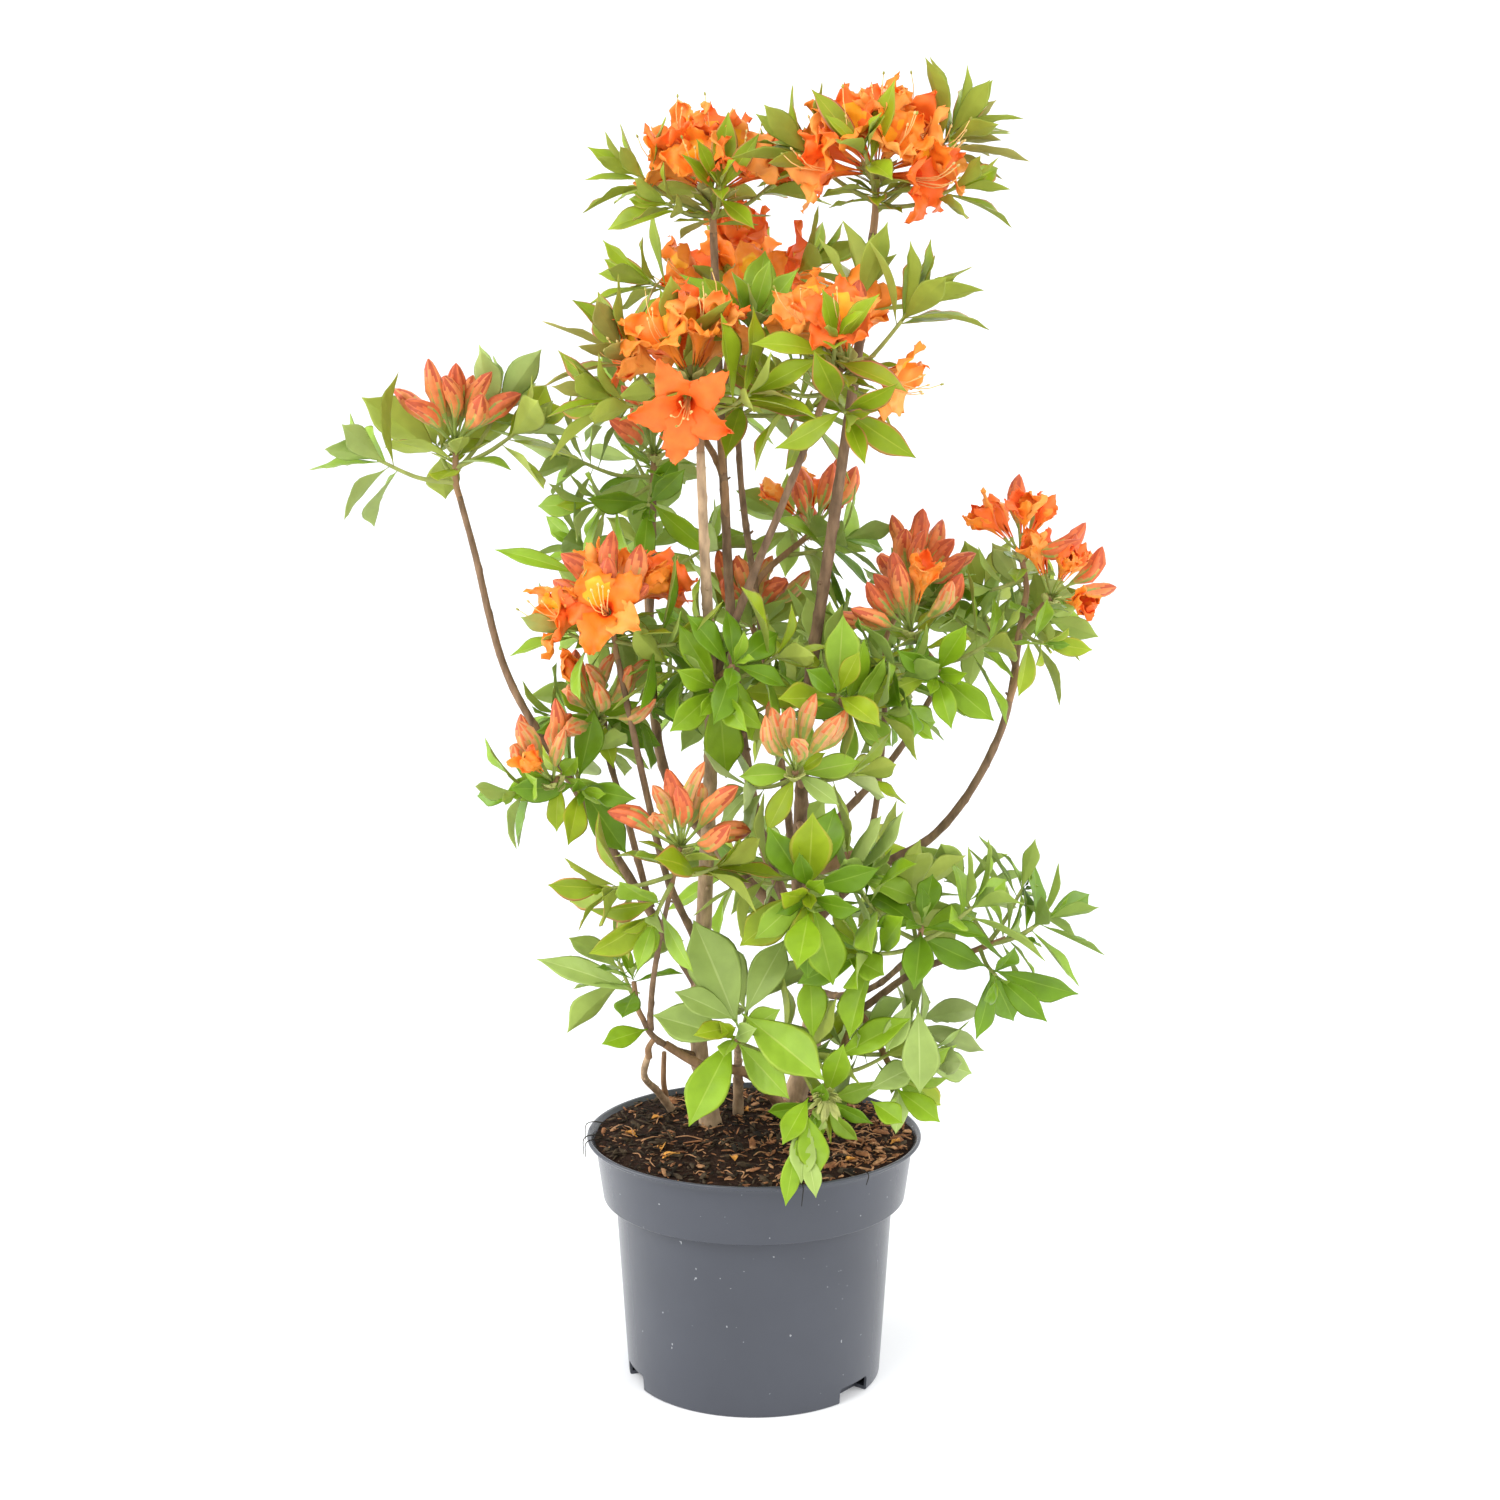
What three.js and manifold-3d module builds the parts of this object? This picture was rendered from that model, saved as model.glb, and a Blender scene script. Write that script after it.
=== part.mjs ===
// A deciduous azalea in bloom, standing in its round nursery pot.
// Millimetres, +Z up. The origin is the middle of the pot's flat underside, and -Y is the front.

import * as THREE from 'three';
import { mergeVertices } from 'three/addons/utils/BufferGeometryUtils.js';
import Module from 'manifold-3d';

const wasm = await Module();
wasm.setup();

// ---- driving dimensions ----

const CLEARANCE = 0.38; // between any two neighbouring pieces
const LEAF_ROOM = 1.2; // that each leaf and flower keeps round itself

const POT = {
  height: 170,
  lipRadius: 115,
  lipHeight: 5,
  bandTopRadius: 109,
  bandBottomRadius: 104,
  bandHeight: 43,
  bodyTopRadius: 95.5,
  footRadius: 87.5,
  footChamfer: 1.5,
  wall: 1.8,
  floor: 2.5,
  segments: 24,
};
const DRAIN = { angles: [81, 201, 321], width: 30, height: 11, innerRadius: 76 };
const COMPOST = { edgeHeight: 161, middleHeight: 166, segments: 24 };

const LEAF = { length: 58, widthRatio: 0.46, thickness: 1.4, droop: 0.1, widestAt: 0.5 };
const ROSETTE = { top: 1.6, notchRadius: 4, widestShare: 0.86, flatPitch: 78, raisedPitch: 46 };
const BUD = { length: 30, radius: 6.6, widestAt: 0.6, sides: 3, lean: 42 };
const FLOWER = { reach: 46, radius: 26, notchRadius: 15, throatDepth: 0.4, petals: 5, lean: 60 };
const BLOOMS_IN_RING = 5;
const CORE = { radius: 6.5, halfHeight: 4, sunk: 3 };
const TWIG = { rootRadius: 1.7, tipRadius: 1.4, sides: 3, rise: 0.12, clearFrom: 0.15, lowest: 45 };
const STEM = { rootRadius: 2.6, tipRadius: 2.1, sides: 4, sunk: 3, stepLength: 48 };
const LIMB = { sides: 5, stepLength: 48, flareLength: 0.12 };

// ---- colours ----

const PAINT = {
  pot: { color: 0x5c6068, roughness: 0.45 },
  compost: { color: 0x3a261a, roughness: 0.95 },
  bark: { color: 0x7d6654, roughness: 0.85 },
  leaves: { color: 0x6f9c2a, roughness: 0.6 },
  blossom: { color: 0xf07828, roughness: 0.6 },
  buds: { color: 0xc8643c, roughness: 0.65 },
};

// ---- limbs: name, the limb it springs from, its route, and its radius at foot and tip ----

const LIMBS = [
  { name: 'front_stem', from: null, radius: [6.6, 2.8], flare: 2.4,
    route: [[-28, 16, 158], [-38, 0, 235], [-33, -20, 338], [-28, -42, 470], [-32, -62, 580],
      [-34, -70, 638]] },
  { name: 'right_trunk', from: null, radius: [8.4, 6.2], flare: 3.2,
    route: [[25, 70, 158], [41, 60, 221], [40, 50, 268], [31, 40, 306]] },
  { name: 'bare_loop', from: null, radius: [3, 2.2], flare: 0.8,
    route: [[-51, 53, 158], [-66, 22, 190], [-75, -12, 214], [-71, -26, 233]] },
  { name: 'low_middle_stem', from: null, radius: [4.2, 2.2], flare: 1.6,
    route: [[-11, 42, 158], [-11, 18, 200], [-11, -20, 228], [-11, -50, 246]] },
  { name: 'low_left_bough', from: 'front_stem', radius: [2.7, 1.9],
    route: [[-37, 4, 221], [-58, -20, 236], [-70, -34, 250], [-75, -38, 262]] },
  { name: 'front_low_bough', from: 'low_left_bough', radius: [2, 1.7],
    route: [[-70, -33, 252], [-67, -55, 288], [-61, -75, 325], [-54, -88, 358]] },
  { name: 'far_left_bough', from: 'front_stem', radius: [3.5, 2.1],
    route: [[-37, -9, 275], [-67, -10, 322], [-118, -15, 410], [-163, -12, 487], [-185, -8, 572],
      [-194, -5, 606]] },
  { name: 'left_inner_bough', from: 'far_left_bough', radius: [2.4, 1.9],
    route: [[-70, -10, 330], [-86, 0, 390], [-99, 8, 433], [-101, 10, 454]] },
  { name: 'left_front_bough', from: 'front_stem', radius: [2.7, 1.9],
    route: [[-35, -15, 300], [-57, -40, 356], [-70, -52, 415], [-88, -56, 505]] },
  { name: 'upper_right_bough', from: 'front_stem', radius: [2.9, 2.2],
    route: [[-28, -45, 486], [-4, -48, 550], [17, -55, 602], [40, -60, 660]] },
  { name: 'right_bough', from: 'right_trunk', radius: [5, 2.9],
    route: [[31, 40, 303], [31, 25, 362], [36, 0, 470], [52, -12, 590], [67, -20, 700], [76, -20, 775]] },
  { name: 'left_bough', from: 'right_trunk', radius: [4.3, 2.4],
    route: [[31, 41, 302], [-22, 60, 352], [-59, 62, 402], [-71, 57, 480], [-69, 55, 605]] },
  { name: 'top_left_bough', from: 'right_trunk', radius: [4, 2.5],
    route: [[31, 42, 303], [8, 55, 356], [-10, 60, 450], [-20, 48, 600], [-27, 30, 778]] },
  { name: 'grey_bough', from: 'right_bough', radius: [3, 2.1],
    route: [[30, 34, 330], [20, 72, 410], [5, 86, 510], [-8, 72, 600], [-11, 50, 645]] },
  { name: 'right_middle_bough', from: 'right_bough', radius: [3, 2],
    route: [[31, 25, 360], [66, 30, 392], [98, 20, 432], [121, 3, 476]] },
  { name: 'far_right_bough', from: 'right_trunk', radius: [3.7, 2.1],
    route: [[34, 42, 298], [73, 40, 339], [126, 34, 373], [168, 30, 443], [183, 30, 532]] },
  { name: 'right_upright_twig', from: 'far_right_bough', radius: [2.3, 1.9],
    route: [[76, 39.5, 341], [86, 50, 399], [90, 55, 446], [91, 60, 492]] },
  { name: 'low_far_right_bough', from: 'right_trunk', radius: [3.3, 2],
    route: [[44, 58, 228], [72, 0, 256], [109, -25, 290], [146, -30, 305]] },
  { name: 'low_right_bough', from: 'right_trunk', radius: [2.8, 1.9],
    route: [[43, 53, 255], [62, 14, 262], [84, -34, 284], [103, -68, 312]] },
];

// ---- masses of foliage and bloom ----
// Each has the limb it stands on, the share of that limb where it springs (1 is the tip), the heart
// that its stem leads to, its open flowers and buds, the leaves set right round the heart, and its
// shoots as [azimuth, elevation, length, leaves]: azimuth 0 is right, 90 back, 180 left, 270 front.

const MASSES = [
  { name: 'top_right_bloom', on: 'right_bough', at: 1, heart: [78, -20, 812], flowers: 6, buds: 0,
    whorl: 4, leaf: 0.85, shoots: [[0, 38, 58, 5], [180, 28, 46, 5], [262, 30, 34, 4], [85, 24, 50, 4]] },
  { name: 'top_left_bloom', on: 'top_left_bough', at: 1, heart: [-27, 30, 802], flowers: 6, buds: 0,
    whorl: 4, leaf: 0.8, shoots: [[180, 26, 44, 5], [0, 30, 40, 5], [265, 10, 30, 4], [95, 22, 46, 4]] },
  { name: 'top_back_bloom', on: 'top_left_bough', at: 0.66, heart: [-10, 108, 748], flowers: 4, buds: 0,
    whorl: 4, leaf: 0.9, shoots: [[188, 22, 52, 4], [-5, 26, 46, 4], [85, 20, 52, 4]] },
  { name: 'upper_right_bloom', on: 'upper_right_bough', at: 1, heart: [58, -64, 695], flowers: 4, buds: 1,
    whorl: 4, leaf: 1, shoots: [[0, 42, 64, 5], [25, 62, 56, 4], [200, -4, 30, 4], [285, -28, 32, 3]] },
  { name: 'centre_front_bloom', on: 'front_stem', at: 1, heart: [-39, -75, 682], flowers: 6, buds: 0,
    whorl: 4, leaf: 1, shoots: [[174, 36, 56, 5], [190, 4, 44, 5], [95, 20, 44, 5], [-8, 14, 38, 5]] },
  { name: 'upper_centre_leaves', on: 'grey_bough', at: 1, heart: [-7, 36, 672], flowers: 0, buds: 0,
    whorl: 4, leaf: 1.08, shoots: [[0, 74, 54, 5], [-22, 36, 54, 5], [-4, 2, 44, 5], [150, 44, 36, 5]] },
  { name: 'far_left_bloom', on: 'far_left_bough', at: 1, heart: [-196, -5, 640], flowers: 0, buds: 7,
    whorl: 4, leaf: 0.92, shoots: [[182, 14, 66, 5], [2, 26, 44, 5], [40, 44, 48, 4], [110, 18, 46, 4]] },
  { name: 'left_middle_bloom', on: 'left_bough', at: 1, heart: [-68, 55, 631], flowers: 0, buds: 6,
    whorl: 4, leaf: 0.95, shoots: [[178, 6, 52, 5], [198, -22, 46, 5], [105, 12, 50, 4], [262, -34, 34, 4]] },
  { name: 'left_front_bloom', on: 'left_front_bough', at: 1, heart: [-91, -58, 532], flowers: 3, buds: 4,
    whorl: 4, leaf: 0.95, shoots: [[-12, -8, 42, 5], [186, 8, 30, 4], [85, 6, 40, 5]] },
  { name: 'left_inner_bloom', on: 'left_inner_bough', at: 1, heart: [-104, 10, 486], flowers: 0, buds: 7,
    whorl: 4, leaf: 0.95, shoots: [[-20, 2, 40, 5], [186, -14, 32, 5], [95, 0, 46, 5]] },
  { name: 'low_left_bloom', on: 'left_inner_bough', at: 0.72, heart: [-133, -56, 441], flowers: 0, buds: 6,
    whorl: 4, leaf: 0.95, shoots: [[35, 26, 32, 5], [196, -26, 42, 5], [285, -28, 28, 4]] },
  { name: 'front_low_bloom', on: 'front_low_bough', at: 1, heart: [-47, -92, 388], flowers: 0, buds: 7,
    whorl: 4, leaf: 1, shoots: [[190, -16, 42, 5], [238, -44, 30, 4], [-8, 4, 28, 4]] },
  { name: 'front_stem_leaves', on: 'front_stem', at: 0.66, heart: [-14, -72, 502], flowers: 0, buds: 0,
    whorl: 4, leaf: 1, shoots: [[190, 16, 34, 5], [-6, 18, 42, 5], [265, -18, 22, 5]] },
  { name: 'centre_back_bloom', on: 'grey_bough', at: 0.44, heart: [-3, 120, 531], flowers: 0, buds: 6,
    whorl: 4, leaf: 0.95, shoots: [[5, 10, 46, 4], [95, 8, 48, 4], [182, 12, 46, 4]] },
  { name: 'right_back_bloom', on: 'grey_bough', at: 0.6, heart: [42, 122, 574], flowers: 0, buds: 6,
    whorl: 4, leaf: 0.95, shoots: [[-5, 10, 40, 4], [90, 14, 50, 4]] },
  { name: 'right_front_bloom', on: 'right_middle_bough', at: 1, heart: [124, -2, 508], flowers: 0, buds: 7,
    whorl: 4, leaf: 0.95, shoots: [[-6, 16, 40, 5], [265, -10, 34, 5], [200, -12, 36, 5]] },
  { name: 'right_middle_bloom', on: 'right_upright_twig', at: 1, heart: [96, 62, 522], flowers: 0, buds: 7,
    whorl: 4, leaf: 0.95, shoots: [[80, 16, 48, 4], [170, 0, 40, 4], [20, 22, 34, 4]] },
  { name: 'far_right_bloom', on: 'far_right_bough', at: 1, heart: [180, 30, 566], flowers: 0, buds: 7,
    whorl: 4, leaf: 0.7, shoots: [[175, -26, 26, 4], [90, -4, 34, 5]] },
  { name: 'far_right_side_bloom', on: 'far_right_bough', at: 0.9, heart: [200, 24, 536], flowers: 0, buds: 7,
    whorl: 4, leaf: 0.75, shoots: [[300, -20, 28, 4], [60, -10, 30, 4]] },
  { name: 'right_back_leaves', on: 'far_right_bough', at: 0.78, heart: [160, 95, 512], flowers: 0, buds: 0,
    whorl: 4, leaf: 1, shoots: [[10, 14, 36, 4], [175, 26, 40, 4], [90, 22, 44, 4]] },
  { name: 'centre_low_bloom', on: 'right_bough', at: 0.16, heart: [26, -85, 436], flowers: 0, buds: 6,
    whorl: 4, leaf: 0.95, shoots: [[-5, -4, 38, 5], [190, -18, 34, 5]] },
  { name: 'right_front_leaves', on: 'right_bough', at: 0.36, heart: [62, -52, 470], flowers: 0, buds: 0,
    whorl: 4, leaf: 1, shoots: [[2, 14, 48, 5], [-14, -22, 40, 5], [100, 34, 40, 5], [270, 10, 30, 5]] },
  { name: 'centre_back_leaves', on: 'top_left_bough', at: 0.28, heart: [-26, 96, 452], flowers: 0, buds: 0,
    whorl: 4, leaf: 1, shoots: [[180, 18, 44, 4], [0, 20, 44, 4], [90, 10, 50, 4]] },
  { name: 'low_right_leaves', on: 'low_right_bough', at: 1, heart: [108, -82, 334], flowers: 0, buds: 0,
    whorl: 4, leaf: 1.05, shoots: [[170, 34, 46, 5], [-10, 30, 40, 5], [100, 34, 44, 4], [205, -6, 40, 4]] },
  { name: 'far_low_right_leaves', on: 'low_far_right_bough', at: 1, heart: [168, -31, 314], flowers: 0,
    buds: 0, whorl: 4, leaf: 1,
    shoots: [[-6, 20, 40, 5], [40, 40, 44, 4], [285, -26, 34, 4], [120, 38, 44, 4]] },
  { name: 'low_centre_leaves', on: 'right_bough', at: 0.1, heart: [34, -97, 363], flowers: 0, buds: 0,
    whorl: 4, leaf: 1.15, shoots: [[180, -6, 34, 5], [-5, -12, 34, 5], [270, -30, 26, 5]] },
  { name: 'low_front_leaves', on: 'low_middle_stem', at: 1, heart: [-13, -70, 256], flowers: 0, buds: 0,
    whorl: 4, leaf: 1.4, shoots: [[80, 78, 24, 4], [-5, 8, 34, 5], [215, -40, 26, 3], [-25, 34, 30, 4]] },
  { name: 'low_left_leaves', on: 'low_left_bough', at: 1, heart: [-80, -42, 287], flowers: 0, buds: 0,
    whorl: 4, leaf: 1.05, shoots: [[186, 16, 34, 4], [200, -14, 26, 4], [110, 24, 40, 5]] },
  { name: 'over_rim_leaves', on: 'low_right_bough', at: 0.24, heart: [42, -84, 216], flowers: 0, buds: 0,
    whorl: 3, leaf: 1.05, shoots: [[262, -36, 26, 5], [20, 8, 30, 4]] },
  { name: 'low_right_front_leaves', on: 'low_far_right_bough', at: 0.3, heart: [94, -58, 226], flowers: 0,
    buds: 0, whorl: 4, leaf: 1.05, shoots: [[-12, -16, 30, 4], [40, 12, 40, 5], [200, 4, 28, 4]] },
  { name: 'back_left_leaves', on: 'left_bough', at: 0.66, heart: [-78, 142, 560], flowers: 0, buds: 0,
    whorl: 3, leaf: 1, shoots: [[175, 12, 48, 4], [95, 22, 52, 4], [10, 14, 44, 4]] },
  { name: 'back_top_leaves', on: 'top_left_bough', at: 0.6, heart: [-52, 132, 664], flowers: 0, buds: 0,
    whorl: 3, leaf: 1, shoots: [[180, 18, 48, 4], [85, 26, 50, 4], [0, 10, 44, 4]] },
  { name: 'back_right_leaves', on: 'grey_bough', at: 0.26, heart: [72, 160, 456], flowers: 0, buds: 0,
    whorl: 4, leaf: 1, shoots: [[0, 10, 50, 4], [95, 18, 52, 4], [175, 6, 46, 4]] },
  { name: 'back_low_leaves', on: 'right_trunk', at: 0.7, heart: [30, 158, 318], flowers: 0, buds: 0,
    whorl: 3, leaf: 1.1, shoots: [[5, 12, 52, 4], [95, 10, 50, 4], [180, 10, 52, 4]] },
];

// ---- small helpers ----

const UP = new THREE.Vector3(0, 0, 1);
const RIGHT = new THREE.Vector3(1, 0, 0);
const radians = THREE.MathUtils.degToRad;

// The same row of numbers between 0 and 1 for the same seed.
function seededRandom(seed) {
  let state = seed >>> 0;
  return () => {
    state = (state + 0x6d2b79f5) >>> 0;
    let mixed = state;
    mixed = Math.imul(mixed ^ (mixed >>> 15), mixed | 1);
    mixed ^= mixed + Math.imul(mixed ^ (mixed >>> 7), mixed | 61);
    return ((mixed ^ (mixed >>> 14)) >>> 0) / 4294967296;
  };
}

// A unit vector from an azimuth and an elevation in degrees.
function heading(azimuth, elevation) {
  const flat = Math.cos(radians(elevation));
  return new THREE.Vector3(
    flat * Math.cos(radians(azimuth)),
    flat * Math.sin(radians(azimuth)),
    Math.sin(radians(elevation)),
  );
}

// The frame of a first ring: two unit vectors square to a direction and to each other.
function squareTo(direction) {
  const guide = Math.abs(direction.dot(UP)) > 0.95 ? RIGHT : UP;
  const side = new THREE.Vector3().crossVectors(direction, guide).normalize();
  const lift = new THREE.Vector3().crossVectors(side, direction).normalize();
  return { side, lift };
}

// Places and frames at even steps along a line, each frame turned as little as it can be.
function framesAlong(line, steps) {
  const frames = [];
  let { side } = squareTo(line.getTangentAt(0));
  for (let step = 0; step <= steps; step += 1) {
    const axis = line.getTangentAt(step / steps);
    side = side.clone().addScaledVector(axis, -side.dot(axis)).normalize();
    const lift = new THREE.Vector3().crossVectors(side, axis).normalize();
    frames.push({ centre: line.getPointAt(step / steps), axis, side, lift });
  }
  return frames;
}

// A point at a turn and a distance round a frame's axis.
function around(frame, turn, radius) {
  const sideways = along(frame.centre, frame.side, radius * Math.cos(turn));
  return along(sideways, frame.lift, radius * Math.sin(turn));
}

function movedFrame(frame, distance) {
  return { ...frame, centre: along(frame.centre, frame.axis, distance) };
}

function along(origin, direction, distance) {
  return origin.clone().addScaledVector(direction, distance);
}

// A closed geometry from corner points and triangles, turned to face outwards.
function closedGeometry(points, triangles) {
  let volume = 0;
  for (const [a, b, c] of triangles) {
    volume += points[a].dot(new THREE.Vector3().crossVectors(points[b], points[c]));
  }
  const outward = volume > 0 ? triangles : triangles.map(([a, b, c]) => [a, c, b]);
  const geometry = new THREE.BufferGeometry();
  geometry.setAttribute('position', new THREE.Float32BufferAttribute(points.flatMap((p) => p.toArray()), 3));
  geometry.setIndex(outward.flat());
  return geometry;
}

function toSolid(geometry) {
  const bare = geometry.clone();
  bare.deleteAttribute('normal');
  bare.deleteAttribute('uv');
  const merged = mergeVertices(bare, 1e-4);
  const index = merged.getIndex().array;
  const triangles = [];
  for (let i = 0; i < index.length; i += 3) {
    const [a, b, c] = [index[i], index[i + 1], index[i + 2]];
    if (a !== b && b !== c && c !== a) {
      triangles.push(a, b, c);
    }
  }
  const vertProperties = new Float32Array(merged.getAttribute('position').array);
  const triVerts = new Uint32Array(triangles);
  return new wasm.Manifold(new wasm.Mesh({ numProp: 3, vertProperties, triVerts }));
}

function toGeometry(solid) {
  const mesh = solid.getMesh();
  const geometry = new THREE.BufferGeometry();
  geometry.setAttribute('position', new THREE.Float32BufferAttribute(mesh.vertProperties, 3));
  geometry.setIndex([...mesh.triVerts]);
  geometry.computeVertexNormals();
  return geometry;
}

function joinAll(solids) {
  return solids.reduce((whole, solid) => whole.add(solid));
}

// The largest of a solid's separate lumps, so that no loose scrap is left.
function largestLump(solid) {
  return solid.decompose().reduce((best, lump) => (lump.volume() > best.volume() ? lump : best));
}

// ---- shapes ----

// A ring of evenly spaced corners round a frame's axis.
function ring(frame, sides, radius) {
  const turns = Array.from({ length: sides }, (_, corner) => (2 * Math.PI * corner) / sides);
  return { turns, points: turns.map((turn) => around(frame, turn, radius)) };
}

// The turn of a loop's point, with whole turns added or taken away beyond its two ends.
function turnAt(loop, index) {
  const count = loop.turns.length;
  const wholeTurns = Math.floor(index / count);
  return loop.turns[index - wholeTurns * count] + 2 * Math.PI * wholeTurns;
}

// The triangles between two loops of points, which may differ in count and in where they start.
function between(low, lowStart, high, highStart) {
  const [lowCount, highCount] = [low.turns.length, high.turns.length];
  const lowPoint = (index) => lowStart + (index % lowCount);
  const highPoint = (index) => highStart + ((index + highCount) % highCount);
  let first = -highCount;
  for (let index = first; index < highCount; index += 1) {
    if (Math.abs(turnAt(high, index) - low.turns[0]) < Math.abs(turnAt(high, first) - low.turns[0])) {
      first = index;
    }
  }
  const triangles = [];
  let [i, j] = [0, first];
  while (i < lowCount || j < first + highCount) {
    const highDone = j === first + highCount;
    if (highDone || (i < lowCount && turnAt(low, i + 1) <= turnAt(high, j + 1))) {
      triangles.push([lowPoint(i), lowPoint(i + 1), highPoint(j)]);
      i += 1;
    } else {
      triangles.push([lowPoint(i), highPoint(j + 1), highPoint(j)]);
      j += 1;
    }
  }
  return triangles;
}

// A closed skin over a row of loops. A last loop with an apex is closed over that point.
function skinOver(loops, apex = null) {
  const points = [];
  const triangles = [];
  loops.forEach((loop, order) => {
    const start = points.length;
    if (order > 0) {
      const before = loops[order - 1];
      triangles.push(...between(before, start - before.points.length, loop, start));
    }
    points.push(...loop.points);
  });
  for (let corner = 1; corner < loops[0].points.length - 1; corner += 1) {
    triangles.push([0, corner + 1, corner]);
  }
  const count = loops[loops.length - 1].points.length;
  const last = points.length - count;
  if (apex) {
    points.push(apex);
    for (let corner = 0; corner < count; corner += 1) {
      triangles.push([last + corner, last + ((corner + 1) % count), points.length - 1]);
    }
  } else {
    for (let corner = 1; corner < count - 1; corner += 1) {
      triangles.push([last, last + corner, last + corner + 1]);
    }
  }
  return closedGeometry(points, triangles);
}

// A tapering limb: rings of corners along a smooth line, closed at both ends.
function taperedTube(frames, sides, radiusAt, lengthen = 0) {
  const last = frames.length - 1;
  return skinOver(frames.map((frame, step) => {
    const shift = (step === last ? lengthen : 0) - (step === 0 ? lengthen : 0);
    return ring(movedFrame(frame, shift), sides, radiusAt(step / last));
  }));
}

// One leaf of a rosette, as its line, its flat side and its size.
function leafOf(frame, turn, pitch, length, spread) {
  const out = around({ ...frame, centre: new THREE.Vector3() }, turn, Math.sin(pitch));
  const direction = along(out, frame.axis, Math.cos(pitch)).normalize();
  const across = new THREE.Vector3().crossVectors(direction, frame.axis).normalize();
  const face = new THREE.Vector3().crossVectors(across, direction).normalize();
  const reach = length * LEAF.widestAt;
  const room = reach * Math.sin(pitch) * Math.tan(spread * ROSETTE.widestShare);
  const halfWidth = Math.min((length * LEAF.widthRatio) / 2, room);
  return { hub: frame.centre, turn, pitch, direction, across, face, length, halfWidth };
}

function leafTip(leaf, grow = 0) {
  return along(along(leaf.hub, leaf.direction, leaf.length + grow), leaf.face, -LEAF.droop * leaf.length);
}

// A leaf on its own, of eight faces, from the share of its length where it starts.
function leafGeometry(leaf, grow, from) {
  const halfThickness = LEAF.thickness / 2 + grow;
  const middle = along(leaf.hub, leaf.direction, leaf.length * Math.max(LEAF.widestAt, from + 0.05));
  const points = [
    along(leaf.hub, leaf.direction, leaf.length * from),
    leafTip(leaf, grow),
    along(middle, leaf.across, leaf.halfWidth + grow),
    along(middle, leaf.across, -leaf.halfWidth - grow),
    along(middle, leaf.face, halfThickness),
    along(middle, leaf.face, -halfThickness),
  ];
  const triangles = [
    [0, 2, 4], [2, 1, 4], [1, 3, 4], [3, 0, 4],
    [2, 0, 5], [1, 2, 5], [3, 1, 5], [0, 3, 5],
  ];
  return closedGeometry(points, triangles);
}

// The rim of a rosette. Each share of the turn starts at a notch near the hub, and where it holds a
// leaf, two edge points and a tip follow. The turns run late by the way from notch to leaf, which
// pairs the hub's corner under a leaf with the whole of that leaf.
function rosetteRim(frame, shares) {
  const turns = [];
  const points = [];
  for (const { turn, notch, leaf } of shares) {
    const late = turn - notch - 1e-6;
    turns.push(notch + late);
    points.push(around(frame, notch, ROSETTE.notchRadius));
    if (leaf) {
      const middle = along(leaf.hub, leaf.direction, leaf.length * LEAF.widestAt);
      const halfTurn = Math.atan(leaf.halfWidth / (leaf.length * LEAF.widestAt * Math.sin(leaf.pitch)));
      turns.push(turn - halfTurn + late, turn + late, turn + halfTurn + late);
      points.push(
        along(middle, leaf.across, -leaf.halfWidth),
        leafTip(leaf),
        along(middle, leaf.across, leaf.halfWidth),
      );
    }
  }
  return { turns, points };
}

// The ring of corners on the hub of a rosette, one under each leaf.
function hubRing(frame, shares, radius) {
  return {
    turns: shares.map((share) => share.turn),
    points: shares.map((share) => around(frame, share.turn, radius)),
  };
}

// A pointed bud on its stalk: it swells to its belly and closes at its tip.
function budGeometry(frame, length, grow = 0) {
  const belly = ring(movedFrame(frame, length * BUD.widestAt), BUD.sides, BUD.radius + grow);
  const stalk = ring(movedFrame(frame, -grow), BUD.sides, 0.8 + grow);
  return skinOver([stalk, belly], along(frame.centre, frame.axis, length + grow));
}

// An open flower: a thin tube that flares to a lobed rim, with a hollow throat.
function flowerGeometry(frame, size, grow = 0) {
  const reach = FLOWER.reach * size;
  const tube = [
    ring(movedFrame(frame, -grow), TWIG.sides, TWIG.tipRadius + grow),
    ring(movedFrame(frame, reach * 0.3), TWIG.sides, TWIG.rootRadius + grow),
  ];
  const lobe = [
    { turn: 0, radius: FLOWER.notchRadius, height: 0.88 },
    { turn: 0.5, radius: FLOWER.radius, height: 1 },
  ];
  const rim = { turns: [], points: [] };
  for (let petal = 0; petal < FLOWER.petals; petal += 1) {
    for (const edge of lobe) {
      const turn = (2 * Math.PI * (petal + edge.turn)) / FLOWER.petals;
      rim.turns.push(turn);
      rim.points.push(around(movedFrame(frame, reach * edge.height), turn, edge.radius * size + grow));
    }
  }
  return skinOver([...tube, rim], along(frame.centre, frame.axis, reach * FLOWER.throatDepth));
}

// A ring-shaped or solid turned piece, from its half outline.
function turned(outline, segments) {
  const profile = outline.map(([radius, height]) => new THREE.Vector2(radius, height));
  const geometry = new THREE.LatheGeometry(profile, segments);
  geometry.rotateX(Math.PI / 2);
  const solid = toSolid(geometry);
  if (solid.volume() > 0) {
    return solid;
  }
  const index = geometry.getIndex().array;
  for (let i = 0; i < index.length; i += 3) {
    [index[i], index[i + 1]] = [index[i + 1], index[i]];
  }
  return toSolid(geometry);
}

// ---- pot and compost ----

function potWall(inset) {
  const bandFoot = POT.height - POT.bandHeight;
  const lipFoot = POT.height - POT.lipHeight;
  return [
    [POT.footRadius - inset, inset > 0 ? POT.floor : POT.footChamfer],
    [POT.bodyTopRadius - inset, bandFoot - 2 + inset / 2],
    [POT.bandBottomRadius - inset, bandFoot + inset / 2],
    [POT.bandTopRadius - inset, lipFoot - 2],
  ];
}

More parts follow.
